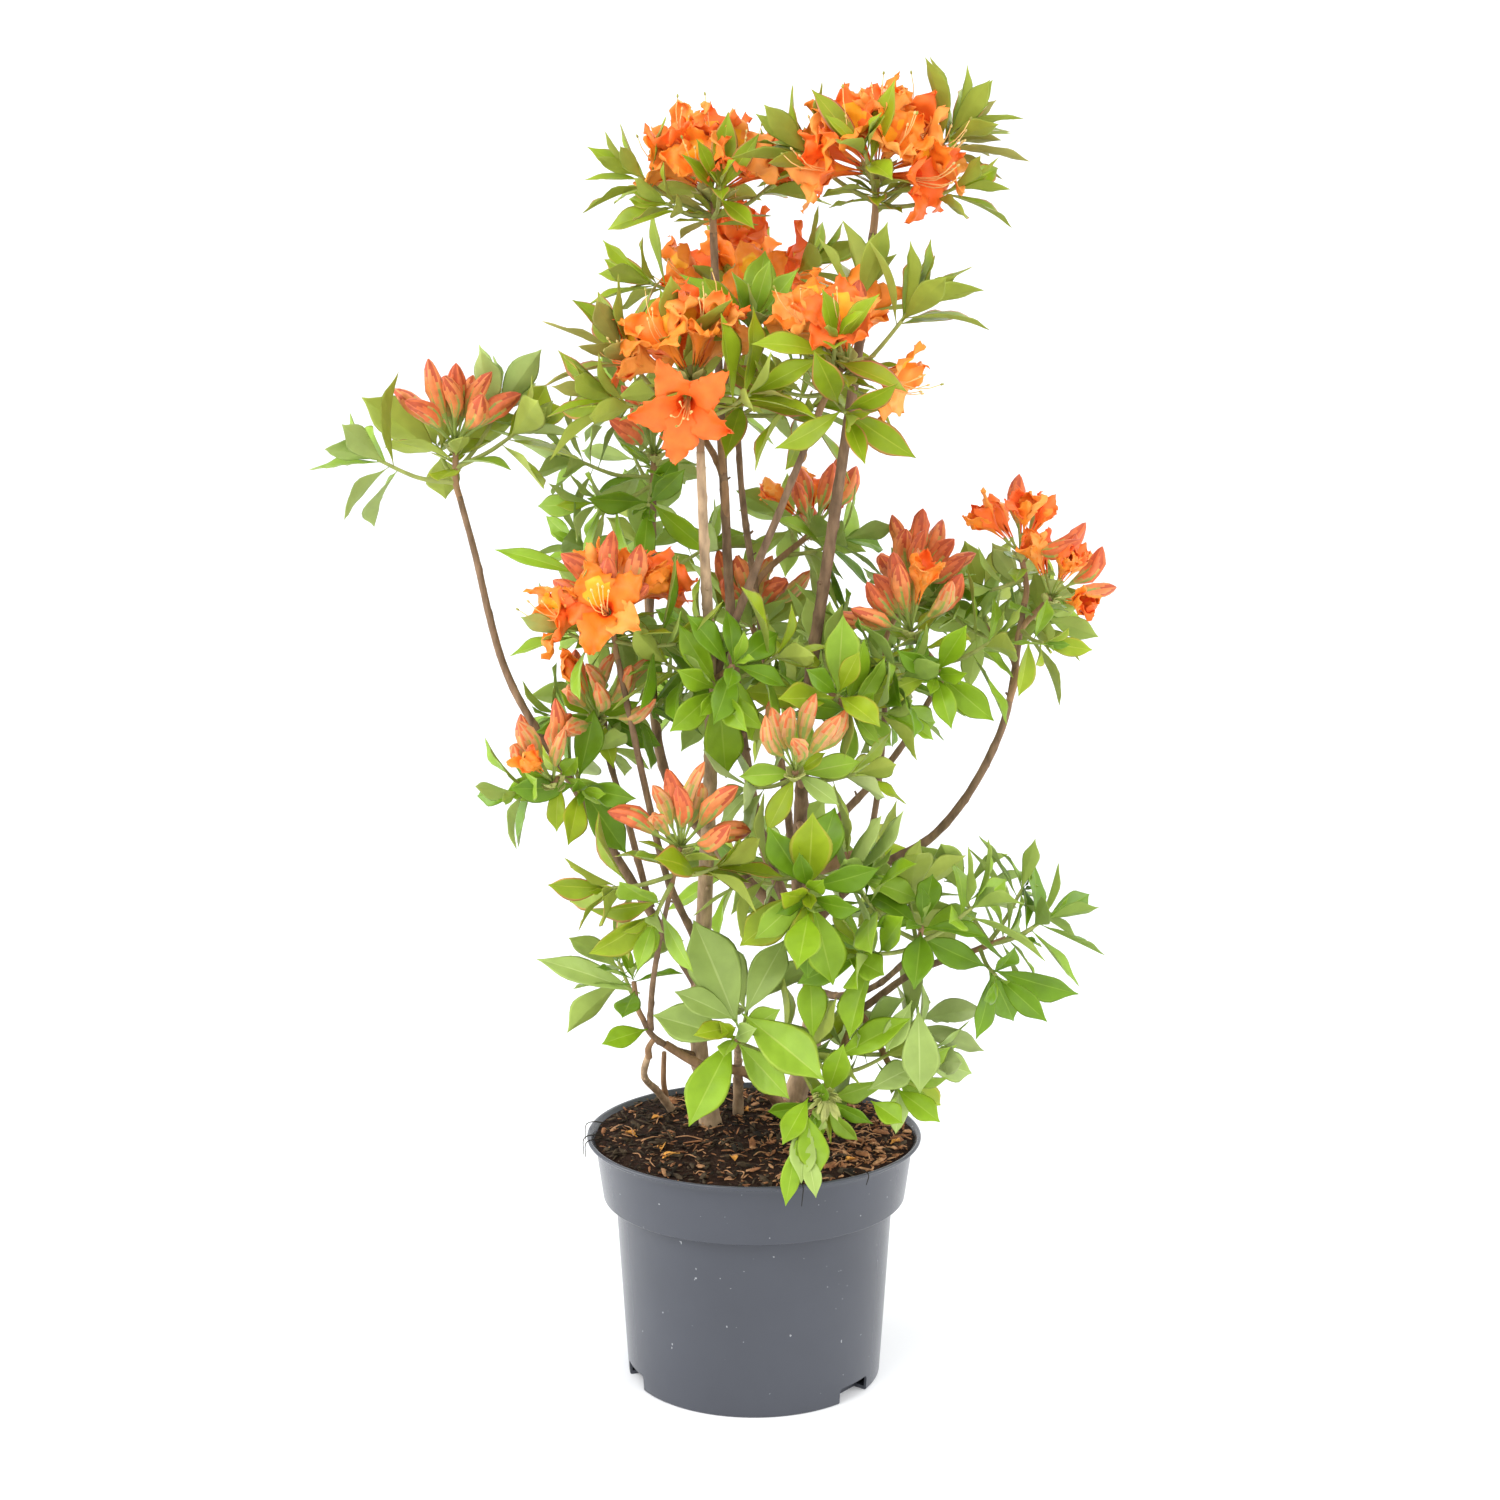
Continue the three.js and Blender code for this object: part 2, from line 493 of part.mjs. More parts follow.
function makePot() {
  const lipFoot = POT.height - POT.lipHeight;
  const outline = [
    [0, 0],
    [POT.footRadius - POT.footChamfer, 0],
    ...potWall(0),
    [POT.lipRadius - 0.6, lipFoot],
    [POT.lipRadius, lipFoot + 2.5],
    [POT.lipRadius - 0.8, POT.height],
    [POT.lipRadius - 3, POT.height],
    ...potWall(POT.wall).reverse(),
    [0, POT.floor],
  ];
  let pot = turned(outline, POT.segments);
  for (const angle of DRAIN.angles) {
    const depth = POT.footRadius - DRAIN.innerRadius + 10;
    const slot = new THREE.BoxGeometry(depth, DRAIN.width, 2 * DRAIN.height);
    slot.translate(DRAIN.innerRadius + depth / 2, 0, 0);
    slot.rotateZ(radians(angle));
    pot = pot.subtract(toSolid(slot));
  }
  return pot;
}

function compostSurface(lift) {
  return [
    [107, COMPOST.edgeHeight + lift],
    [84, COMPOST.edgeHeight + 3.4 + lift],
    [40, COMPOST.middleHeight - 0.6 + lift],
    [0, COMPOST.middleHeight + lift],
  ];
}

function makeCompost() {
  const inside = POT.wall + CLEARANCE + 0.6;
  const wall = potWall(inside);
  const foot = POT.floor + CLEARANCE;
  const edge = potWall(inside)[3][0] - 0.5;
  return turned(
    [
      [0, foot],
      [wall[0][0] - 0.2, foot],
      wall[1],
      [wall[2][0], wall[2][1] + 0.6],
      [edge, COMPOST.edgeHeight - 3],
      ...compostSurface(0).map(([radius, height]) => [Math.min(radius, edge - 0.4), height]),
    ],
    COMPOST.segments,
  );
}

// What a stem must stay above: the compost's surface, lifted by the clearance.
function makeCompostClearance() {
  return turned([[0, 100], [107, 100], ...compostSurface(CLEARANCE)], COMPOST.segments);
}

// ---- limbs ----

function limbLine(limb) {
  return new THREE.CatmullRomCurve3(limb.route.map((p) => new THREE.Vector3(...p)), false, 'centripetal');
}

function limbRadius(limb, share, grow) {
  const [foot, tip] = limb.radius;
  const flare = (limb.flare ?? 0) * Math.max(0, 1 - share / LIMB.flareLength) ** 2;
  return foot + (tip - foot) * share + flare + grow;
}

function limbSolid(limb, grow = 0) {
  const line = limbLine(limb);
  const steps = Math.max(4, Math.round(line.getLength() / LIMB.stepLength));
  const radiusAt = (share) => limbRadius(limb, share, grow);
  return toSolid(taperedTube(framesAlong(line, steps), LIMB.sides, radiusAt, grow));
}

// ---- masses ----

function overlapsAny(solid, obstacles) {
  const box = solid.boundingBox();
  return obstacles.some(({ solid: other, box: otherBox }) => {
    const apart = [0, 1, 2].some((i) => box.min[i] > otherBox.max[i] || otherBox.min[i] > box.max[i]);
    return !apart && !solid.intersect(other).isEmpty();
  });
}

function withBox(solid) {
  return { solid, box: solid.boundingBox() };
}

// The stem of a mass, from its limb to its heart.
function massStem(mass, limb) {
  const heart = new THREE.Vector3(...mass.heart);
  const spring = limb.line.getPointAt(mass.at);
  const setOff = limb.line.getTangentAt(mass.at);
  const line = new THREE.CatmullRomCurve3([
    along(spring, setOff, -STEM.sunk),
    along(spring, setOff, spring.distanceTo(heart) * 0.25),
    heart,
  ], false, 'centripetal');
  const steps = Math.max(2, Math.round(line.getLength() / STEM.stepLength));
  const frames = framesAlong(line, steps);
  const rings = frames.map((frame, step) => {
    const radius = THREE.MathUtils.lerp(STEM.rootRadius, STEM.tipRadius, step / steps);
    return ring(frame, STEM.sides, Math.min(radius, limbRadius(limb, mass.at, 0)));
  });
  return { rings, top: frames[steps], stemLength: line.getLength() };
}

function hasLeaves(shares) {
  return shares.some((share) => share.leaf);
}

function growMass(mass, seed, limbs, obstacles) {
  const random = seededRandom(seed);
  const limb = limbs.get(mass.on);
  const fullLeaf = LEAF.length * mass.leaf;
  const solids = [];
  const ownBlades = [];

  const others = obstacles.filter((obstacle) => obstacle.name !== mass.name);
  const isFree = (geometry) => !overlapsAny(toSolid(geometry), others);

  // The even shares of one rosette's turn, each with its leaf if that has room for itself.
  function leavesRound(frame, count, length, pitches) {
    const spread = Math.PI / count;
    const start = Math.PI * random();
    const shares = [];
    for (let i = 0; i < count; i += 1) {
      const turn = start + 2 * spread * i + 0.2 * spread * (random() - 0.5);
      const pitch = radians(pitches[i % 2] + 14 * (random() - 0.5));
      const leaf = leafOf(frame, turn, pitch, length * (0.8 + 0.3 * random()), spread);
      const clearOfOwn = !overlapsAny(toSolid(leafGeometry(leaf, CLEARANCE, 0.12)), ownBlades);
      const fits = clearOfOwn && isFree(leafGeometry(leaf, LEAF_ROOM, 0));
      shares.push({ turn, leaf: fits ? leaf : null });
    }
    shares.forEach((share, i) => {
      const before = i > 0 ? shares[i - 1].turn : shares[count - 1].turn - 2 * Math.PI;
      share.notch = (before + share.turn) / 2;
    });
    return shares;
  }

  const { rings, top, stemLength } = mass.stem;
  const blooms = mass.flowers + mass.buds;
  const bloomAxis = top.axis.clone().lerp(UP, 0.6).normalize();
  for (let i = 0; i < blooms; i += 1) {
    const open = i < mass.flowers;
    const row = Math.ceil(i / BLOOMS_IN_RING);
    const lean = radians((open ? FLOWER.lean : BUD.lean) * row);
    const turn = (2 * Math.PI * (i + row / 2)) / BLOOMS_IN_RING + 0.2 * random();
    const size = 0.92 + 0.16 * random();
    const bloomFrame = { centre: new THREE.Vector3(), axis: bloomAxis, ...squareTo(bloomAxis) };
    const axis = along(around(bloomFrame, turn, Math.sin(lean)), bloomAxis, Math.cos(lean));
    const frame = { centre: along(top.centre, axis, CORE.radius - CORE.sunk), axis, ...squareTo(axis) };
    const make = (grow) => (open
      ? flowerGeometry(frame, size, grow)
      : budGeometry(frame, BUD.length * size, grow));
    if (isFree(make(LEAF_ROOM))) {
      const bloom = toSolid(make(0));
      solids.push(bloom);
      ownBlades.push(withBox(bloom));
    }
  }

  const below = blooms > 0 ? -1.5 * CORE.radius : 0;
  const whorlFrame = movedFrame(top, below);
  const whorl = leavesRound(whorlFrame, mass.whorl, fullLeaf * 0.8, [84, 70]);
  const loops = rings.slice(0, -1);
  loops.push(hubRing(movedFrame(whorlFrame, -ROSETTE.top), whorl, STEM.tipRadius));
  if (hasLeaves(whorl)) {
    loops.push(rosetteRim(whorlFrame, whorl));
  }
  if (blooms > 0) {
    loops.push(
      hubRing(movedFrame(whorlFrame, ROSETTE.top), whorl, STEM.tipRadius),
      ring(movedFrame(top, -CORE.halfHeight), STEM.sides, CORE.radius),
      ring(movedFrame(top, CORE.halfHeight), STEM.sides, CORE.radius),
    );
  }
  const apex = movedFrame(top, blooms > 0 ? CORE.radius : ROSETTE.top).centre;
  solids.push(toSolid(skinOver(loops, apex)));

  for (const [azimuth, elevation, length, leaves] of mass.shoots) {
    const start = along(top.centre, top.axis, -Math.min(stemLength, TWIG.lowest) * (0.4 + 0.3 * random()));
    const direction = heading(azimuth + 8 * (random() - 0.5), elevation);
    const end = along(along(start, direction, length), UP, length * TWIG.rise);
    const [foot, hub] = framesAlong(new THREE.LineCurve3(start, end), 1);
    const bare = { ...foot, centre: start.clone().lerp(end, TWIG.clearFrom) };
    const rosette = leavesRound(hub, leaves, fullLeaf, [ROSETTE.flatPitch, ROSETTE.raisedPitch]);
    if (isFree(taperedTube([bare, hub], TWIG.sides, () => TWIG.rootRadius + LEAF_ROOM, LEAF_ROOM))) {
      const twigTop = movedFrame(hub, -ROSETTE.top);
      const twigLoops = [
        ring(foot, TWIG.sides, TWIG.rootRadius),
        hubRing(twigTop, rosette, TWIG.tipRadius),
      ];
      if (hasLeaves(rosette)) {
        twigLoops.push(rosetteRim(hub, rosette));
      }
      const shoot = toSolid(skinOver(twigLoops, movedFrame(hub, ROSETTE.top).centre));
      solids.push(shoot);
      ownBlades.push(withBox(shoot));
    }
  }
  return largestLump(joinAll(solids).subtract(limb.clearance));
}

// ---- the plant in its pot ----

const azalea = new THREE.Group();
azalea.name = 'potted_azalea';

function addMesh(name, solid, paint) {
  const mesh = new THREE.Mesh(toGeometry(solid), new THREE.MeshStandardMaterial({ ...paint, metalness: 0 }));
  mesh.name = name;
  azalea.add(mesh);
}

const obstacles = [];

function addObstacle(name, solid) {
  obstacles.push({ name, ...withBox(solid) });
}

const pot = makePot();
const compost = makeCompost();
const compostClearance = makeCompostClearance();
addMesh('pot', pot, PAINT.pot);
addMesh('compost', compost, PAINT.compost);
addObstacle('pot', pot);
addObstacle('compost', compost);

const limbs = new Map();
for (const limb of LIMBS) {
  const neighbours = [...limbs.values()].filter((other) => (
    other.name === limb.from || (limb.from && other.from === limb.from)));
  const clearances = neighbours.map((other) => other.clearance);
  const cut = clearances.reduce((rest, clearance) => rest.subtract(clearance), limbSolid(limb));
  const solid = largestLump(limb.from ? cut : cut.subtract(compostClearance));
  addObstacle(limb.name, solid);
  limbs.set(limb.name, { ...limb, line: limbLine(limb), clearance: limbSolid(limb, CLEARANCE) });
  addMesh(limb.name, solid, PAINT.bark);
}

for (const mass of MASSES) {
  const limb = limbs.get(mass.on);
  mass.stem = massStem(mass, limb);
  const { rings, top } = mass.stem;
  const headRadius = mass.flowers + mass.buds > 0 ? CORE.radius + LEAF_ROOM : STEM.rootRadius;
  const head = movedFrame(top, CORE.radius);
  const reserved = skinOver([...rings.slice(0, -1), ring(top, STEM.sides, headRadius)], head.centre);
  addObstacle(mass.name, toSolid(reserved).subtract(limb.clearance));
}

MASSES.forEach((mass, order) => {
  const solid = growMass(mass, 1000 + order * 17, limbs, obstacles);
  addObstacle(mass.name, solid);
  const paint = (mass.flowers > 2 && PAINT.blossom) || (mass.buds > 4 && PAINT.buds) || PAINT.leaves;
  addMesh(mass.name, solid, paint);
});

export default azalea;
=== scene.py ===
import math
from collections import defaultdict, namedtuple

import bpy
import numpy as np
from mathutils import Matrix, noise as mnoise


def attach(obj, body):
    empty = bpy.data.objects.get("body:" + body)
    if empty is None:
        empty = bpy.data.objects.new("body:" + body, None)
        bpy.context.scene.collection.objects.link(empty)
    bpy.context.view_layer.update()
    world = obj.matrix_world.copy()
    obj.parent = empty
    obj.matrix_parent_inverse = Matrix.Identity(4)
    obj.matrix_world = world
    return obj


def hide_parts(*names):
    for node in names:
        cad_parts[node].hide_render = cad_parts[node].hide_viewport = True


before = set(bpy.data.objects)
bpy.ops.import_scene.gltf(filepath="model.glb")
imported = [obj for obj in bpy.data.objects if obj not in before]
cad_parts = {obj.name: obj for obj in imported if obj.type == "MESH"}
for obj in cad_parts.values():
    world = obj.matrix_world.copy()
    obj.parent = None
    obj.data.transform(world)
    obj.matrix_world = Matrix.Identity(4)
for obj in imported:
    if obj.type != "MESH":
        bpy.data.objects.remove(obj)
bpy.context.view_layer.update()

# A deciduous azalea in bloom, standing in its round nursery pot.
# Shapes are worked out in millimetres, +Z up, and turned into metres when they become meshes.

UP = np.array([0.0, 0.0, 1.0])
RIGHT = np.array([1.0, 0.0, 0.0])
TAU = 2 * math.pi
GOLDEN = math.radians(137.5)

# ---- driving dimensions ----

POT = dict(height=170, lip=115, lip_height=5, band_top=109, band_bottom=104, band_height=43,
           body_top=95.5, foot=87.5, wall=1.8, floor=2.5)
DRAIN = dict(angles=(81, 201, 321), width=30, height=11, corner=2.5, inner=76, outer=100)
# stalk and point are half widths. A leaf stops turning once clear, and needs the least gap to stay.
LEAF = dict(length=58, thickness=0.4, stalk=0.6, point=0.12, veins=0.75, clear=1.2, least_gap=0.1,
            below_truss=9.75)
# torn, ruffle and crumple: how far a petal strays. star: the opening from which a flower lies flat.
FLOWER = dict(reach=52, half_thickness=0.18, torn=0.17, ruffle=2.9, crumple=4.6, star=94)
BUD = dict(length=45, radius=5.8, lean=27, outer_lean=32)
TWIG = dict(root=1.7, tip=1.15, rise=0.12, sag=0.07, lowest=45)
STEM = dict(root=2.6, tip=2.1, sunk=3)
FLARE_LENGTH = 0.12
COLLAR = dict(swell=0.45, length=7)
STUB = dict(apart=75, stands_out=(1.2, 3.2), thickness=(0.32, 0.5))
# How far round a leaf others are looked for, and the gap where there are none.
NEAR, FAR = 30, 1e9
# What a leaf tries in turn to get clear: more turn, more pitch, and a share of its length.
LEAF_TRIES = ((0, 0, 1), (0.3, -0.12, 1), (-0.3, 0.15, 0.95), (0.6, -0.3, 0.85), (-0.6, 0.3, 0.85),
              (0.9, -0.2, 0.8), (-0.9, 0.2, 0.8))
# Bits on the compost. over_rim has each hanging fibre's azimuth and share of its reach.
CHIPS = dict(count=2500, fibres=90,
             over_rim=((187, 1), (192, 0.97), (278, 1), (284, 0.98), (308, 0.97), (172, 0.98)),
             scales=((-68, 24), (-62, -40), (-56, -56), (-14, -62), (-6, 38), (96, -22), (-34, 10),
                     (30, -40), (60, 20), (-84, -10), (8, 80), (64, -62), (-40, 76)))

# ---- limbs: name, foot and tip radius, flare at the foot, route ----

LIMBS = [
    ("front_stem", None, (6.6, 2.8), 2.4,
     [(-28, 16, 158), (-38, 0, 235), (-33, -20, 338), (-28, -42, 470), (-32, -62, 580), (-34, -70, 638)]),
    ("right_trunk", None, (8.4, 6.2), 3.2, [(25, 70, 158), (41, 60, 221), (40, 50, 268), (31, 40, 306)]),
    ("bare_loop", None, (3, 2.2), 0.8, [(-51, 53, 158), (-66, 22, 190), (-75, -12, 214), (-71, -26, 233)]),
    ("low_middle_stem", None, (4.2, 2.2), 1.6,
     [(-11, 42, 158), (-11, 18, 200), (-11, -20, 228), (-11, -50, 246)]),
    ("low_left_bough", "front_stem", (2.7, 1.9), 0,
     [(-37, 4, 221), (-58, -20, 236), (-70, -34, 250), (-75, -38, 262)]),
    ("front_low_bough", "low_left_bough", (2, 1.7), 0,
     [(-70, -33, 252), (-67, -55, 288), (-61, -75, 325), (-54, -88, 358)]),
    ("far_left_bough", "front_stem", (3.5, 2.1), 0,
     [(-37, -9, 275), (-67, -10, 322), (-118, -15, 410), (-163, -12, 487), (-185, -8, 572),
      (-194, -5, 606)]),
    ("left_inner_bough", "far_left_bough", (2.4, 1.9), 0,
     [(-70, -10, 330), (-86, 0, 390), (-99, 8, 433), (-101, 10, 454)]),
    ("left_front_bough", "front_stem", (2.7, 1.9), 0,
     [(-35, -15, 300), (-57, -40, 356), (-70, -52, 415), (-88, -56, 505)]),
    ("upper_right_bough", "front_stem", (2.9, 2.2), 0,
     [(-28, -45, 486), (-4, -48, 550), (17, -55, 602), (40, -60, 660)]),
    ("right_bough", "right_trunk", (5, 2.9), 0,
     [(31, 40, 303), (31, 25, 362), (36, 0, 470), (52, -12, 590), (67, -20, 700), (76, -20, 775)]),
    ("left_bough", "right_trunk", (4.3, 2.4), 0,
     [(31, 41, 302), (-22, 60, 352), (-59, 62, 402), (-71, 57, 480), (-69, 55, 605)]),
    ("top_left_bough", "right_trunk", (4, 2.5), 0,
     [(31, 42, 303), (8, 55, 356), (-10, 60, 450), (-20, 48, 600), (-27, 30, 778)]),
    ("grey_bough", "right_bough", (3, 2.1), 0,
     [(30, 34, 330), (20, 72, 410), (5, 86, 510), (-8, 72, 600), (-11, 50, 645)]),
    ("right_middle_bough", "right_bough", (3, 2), 0,
     [(31, 25, 360), (66, 30, 392), (98, 20, 432), (121, 3, 476)]),
    ("far_right_bough", "right_trunk", (3.7, 2.1), 0,
     [(34, 42, 298), (73, 40, 339), (126, 34, 373), (168, 30, 443), (183, 30, 532)]),
    ("right_upright_twig", "far_right_bough", (2.3, 1.9), 0,
     [(76, 39.5, 341), (86, 50, 399), (90, 55, 446), (91, 60, 492)]),
    ("low_far_right_bough", "right_trunk", (3.3, 2), 0,
     [(44, 58, 228), (72, 0, 256), (109, -25, 290), (146, -30, 305)]),
    ("low_right_bough", "right_trunk", (2.8, 1.9), 0,
     [(43, 53, 255), (62, 14, 262), (84, -34, 284), (103, -68, 312)]),
]

# ---- masses of foliage and bloom ----
# Each has the limb it stands on, the share of the limb where it springs, its heart, its buds, the
# leaves right round the heart, the leaves' size, how slim they are, its tint, and its shoots as
# (azimuth, elevation, length, leaves): azimuth 0 is right, 90 back, 180 left, 270 front.
# FACINGS has the open flowers. With buds or flowers the node's name ends in _bloom, else in _leaves.

Mass = namedtuple("Mass", "name limb share heart buds whorl size slim tint shoots")
MASSES = [Mass(*row) for row in [
    ("top_right", "right_bough", 1, (78, -20, 812), 0, 7, 0.94, 0.31, "bronze",
     [(6, 41, 68, 11), (178, 30, 52, 9), (255, 34, 42, 6), (28, 34, 66, 9), (350, 6, 52, 6)]),
    ("top_left", "top_left_bough", 1, (-27, 30, 802), 0, 7, 0.88, 0.32, "bronze",
     [(186, 22, 54, 9), (2, 24, 46, 8), (275, 16, 44, 6), (95, 22, 46, 6), (215, 4, 36, 6)]),
    ("top_back", "top_left_bough", 0.66, (-10, 108, 748), 0, 6, 0.98, 0.31, "bronze",
     [(196, 8, 62, 8), (-12, 22, 56, 8), (85, 20, 52, 7)]),
    ("upper_right", "upper_right_bough", 1, (58, -64, 695), 1, 6, 1.04, 0.31, "bronze",
     [(2, 40, 68, 11), (35, 64, 62, 11), (200, -4, 30, 5), (290, -30, 34, 5), (275, 30, 44, 5)]),
    ("centre_front", "front_stem", 1, (-39, -75, 682), 0, 6, 1.04, 0.32, "bronze",
     [(174, 38, 60, 10), (192, 4, 54, 8), (95, 20, 44, 6), (325, 14, 42, 7), (172, 72, 46, 5)]),
    ("upper_centre", "grey_bough", 1, (-7, 36, 672), 0, 7, 1.14, 0.34, "young",
     [(280, 36, 86, 12), (-32, 30, 62, 9), (-16, 0, 52, 8), (150, 44, 36, 7)]),
    ("far_left", "far_left_bough", 1, (-196, -5, 640), 11, 6, 1.02, 0.44, "young",
     [(183, 10, 52, 7), (2, 24, 46, 8), (40, 44, 48, 8), (110, 18, 46, 6)]),
    ("left_middle", "left_bough", 1, (-68, 55, 631), 9, 6, 0.95, 0.36, "fresh",
     [(178, 6, 52, 8), (198, -22, 46, 7), (105, 12, 50, 7), (262, -34, 34, 5)]),
    ("left_front", "left_front_bough", 1, (-91, -58, 532), 11, 6, 0.95, 0.38, "fresh",
     [(-12, -8, 42, 7), (186, 8, 30, 5), (85, 6, 40, 6)]),
    ("left_inner", "left_inner_bough", 1, (-103, -30, 462), 10, 6, 0.95, 0.38, "fresh",
     [(-20, 2, 40, 6), (186, -14, 32, 6), (95, 0, 46, 7)]),
    ("low_left", "left_inner_bough", 0.72, (-131, -56, 424), 7, 6, 0.95, 0.38, "fresh",
     [(35, 26, 32, 6), (196, -26, 42, 6), (285, -28, 28, 5)]),
    ("front_low", "front_low_bough", 1, (-47, -92, 388), 10, 6, 1, 0.4, "young",
     [(190, -16, 42, 6), (238, -44, 30, 5), (-8, 4, 28, 5)]),
    ("front_stem", "front_stem", 0.66, (-14, -72, 502), 0, 6, 1, 0.4, "fresh",
     [(190, 16, 34, 6), (-6, 18, 42, 7), (265, -18, 22, 5)]),
    ("centre_back", "grey_bough", 0.44, (-3, 112, 512), 9, 6, 0.95, 0.38, "fresh",
     [(5, 10, 46, 7), (95, 8, 48, 7), (182, 12, 46, 7)]),
    ("right_back", "grey_bough", 0.6, (42, 122, 574), 9, 6, 0.95, 0.38, "fresh",
     [(-5, 10, 40, 7), (90, 14, 50, 7)]),
    ("right_front", "right_middle_bough", 1, (104, -6, 516), 11, 6, 0.95, 0.38, "fresh",
     [(-6, 16, 40, 6), (265, -10, 34, 5), (200, -12, 36, 6)]),
    ("right_middle", "right_upright_twig", 1, (108, 58, 538), 9, 6, 0.95, 0.38, "fresh",
     [(80, 16, 48, 7), (170, 0, 40, 7), (20, 22, 34, 6)]),
    ("far_right", "far_right_bough", 1, (180, 30, 566), 8, 3, 0.7, 0.4, "fresh",
     [(175, -26, 26, 5), (90, -4, 34, 6)]),
    ("far_right_side", "far_right_bough", 0.9, (200, 24, 536), 8, 3, 0.75, 0.4, "fresh",
     [(300, -20, 28, 4), (60, -10, 30, 5)]),
    ("right_back", "far_right_bough", 0.78, (160, 95, 512), 0, 6, 1, 0.44, "fresh",
     [(10, 14, 36, 6), (175, 26, 40, 7), (90, 22, 44, 7)]),
    ("centre_low", "right_bough", 0.16, (26, -85, 436), 8, 6, 0.95, 0.4, "pale",
     [(-5, -4, 38, 6), (190, -18, 34, 6)]),
    ("right_front", "right_bough", 0.36, (62, -52, 470), 0, 6, 1, 0.4, "fresh",
     [(2, 14, 48, 7), (-14, -22, 40, 6), (100, 34, 40, 6), (270, 10, 30, 6)]),
    ("centre_back", "top_left_bough", 0.28, (-26, 96, 452), 0, 6, 1, 0.42, "fresh",
     [(180, 18, 44, 7), (0, 20, 44, 7), (90, 10, 50, 7)]),
    ("low_right", "low_right_bough", 1, (108, -82, 334), 0, 6, 1.05, 0.42, "fresh",
     [(170, 34, 46, 7), (-10, 30, 40, 7), (100, 34, 44, 6), (205, -6, 40, 7)]),
    ("far_low_right", "low_far_right_bough", 1, (168, -31, 314), 0, 6, 1, 0.36, "fresh",
     [(-6, 20, 40, 7), (40, 40, 44, 6), (285, -26, 34, 6), (120, 38, 44, 6)]),
    ("low_centre", "right_bough", 0.1, (34, -97, 363), 0, 6, 1.15, 0.42, "fresh",
     [(180, -6, 34, 6), (-5, -12, 34, 6), (270, -30, 26, 5)]),
    ("low_front", "low_middle_stem", 1, (-13, -70, 256), 0, 3, 1.2, 0.44, "pale",
     [(-8, -12, 46, 4), (75, 30, 34, 4)]),
    ("low_left", "low_left_bough", 1, (-80, -42, 287), 0, 4, 0.95, 0.38, "fresh",
     [(110, 24, 40, 5)]),
    ("over_rim", "low_right_bough", 0.24, (42, -84, 216), 0, 4, 0.75, 0.4, "fresh",
     [(262, -50, 26, 2), (12, 10, 40, 3)]),
    ("low_right_front", "low_far_right_bough", 0.3, (94, -58, 226), 0, 5, 1.05, 0.42, "pale",
     [(-12, -16, 30, 5), (40, 12, 40, 6), (200, 4, 28, 5)]),
    ("back_left", "left_bough", 0.66, (-78, 142, 560), 0, 6, 1, 0.4, "fresh",
     [(175, 12, 48, 7), (95, 22, 52, 7), (10, 14, 44, 7)]),
    ("back_top", "top_left_bough", 0.6, (-52, 132, 664), 0, 6, 1, 0.36, "young",
     [(180, 18, 48, 7), (85, 26, 50, 7), (0, 10, 44, 7)]),
    ("back_right", "grey_bough", 0.26, (72, 160, 456), 0, 6, 1, 0.42, "fresh",
     [(0, 10, 50, 7), (95, 18, 52, 7), (175, 6, 46, 7)]),
    ("back_low", "right_trunk", 0.7, (30, 158, 318), 0, 6, 1.1, 0.44, "fresh",
     [(5, 12, 52, 7), (95, 10, 50, 7), (180, 10, 52, 7)]),
]]

# Short old wood low down: foot and tip radius, route.
LINKS = [
    ((4.4, 2.8), [(22, 52, 168), (17, 40, 178), (8, 22, 194), (-4, 4, 210), (-14, -10, 217),
                  (-29, -18, 220), (-43, -21, 227), (-60, -24, 239)]),
    ((2.3, 1.7), [(-71, -25, 230), (-71, -29, 238), (-66, -30, 246)]),
    ((2.2, 1.7), [(-62, 34, 184), (-63, 22, 200), (-62, 10, 223)]),
    ((5.4, 5.0), [(33, 27, 345), (58, 27, 354), (84, 29, 360)]),
]

# Single big leaves that stand out low down, as foot, tip, width and tint.
LONE_LEAVES = [
    ((-111, -46, 558), (-166, -44, 578), 12, "fresh"),
    ((-10, -72, 263), (-37, -66, 333), 37, "pale"),
    ((-7, -70, 271), (20, -50, 319), 25, "pale"),
    ((-8, -74, 274), (42, -120, 247), 33, "grass"),
    ((-13, -74, 259), (-41, -112, 213), 28, "fresh"),
    ((-12, -72, 269), (-47, -90, 294), 20, "pale"),
    ((-12, -72, 264), (-35, -100, 270), 15, "young"),
    ((38, -80, 257), (37, -78, 299), 21, "fresh"),
    ((51, -84, 246), (97, -100, 278), 21, "fresh"),
    ((-76, -42, 279), (-145, -30, 304), 20, "pale"),
    ((-71, -40, 254), (-99, -60, 251), 16, "fresh"),
    ((-62, -70, 341), (-74, -84, 313), 17, "fresh"),
    ((37, -98, 353), (50, -124, 309), 27, "fresh"),
    ((34, -117, 352), (28, -162, 334), 24, "fresh"),
    ((59, -90, 317), (82, -104, 310), 21, "fresh"),
    ((106, -86, 282), (107, -104, 231), 26, "pale"),
    ((102, -86, 286), (85, -100, 257), 16, "pale"),
    ((93, -70, 222), (120, -90, 208), 18, "fresh"),
    ((76, -84, 218), (95, -100, 210), 17, "fresh"),
    ((74, -80, 224), (103, -84, 242), 20, "pale"),
    ((35, -96, 224), (19, -128, 206), 17, "fresh"),
    ((32, -104, 215), (30, -140, 185), 18, "pale"),
    ((33, -104, 217), (40, -136, 187), 21, "fresh"),
    ((27, -122, 204), (20, -142, 169), 13, "fresh"),
    ((33, -122, 198), (39, -144, 176), 12, "pale"),
]

# Where a small withered tuft stands low down.
REMNANT = (47, -91, 221)

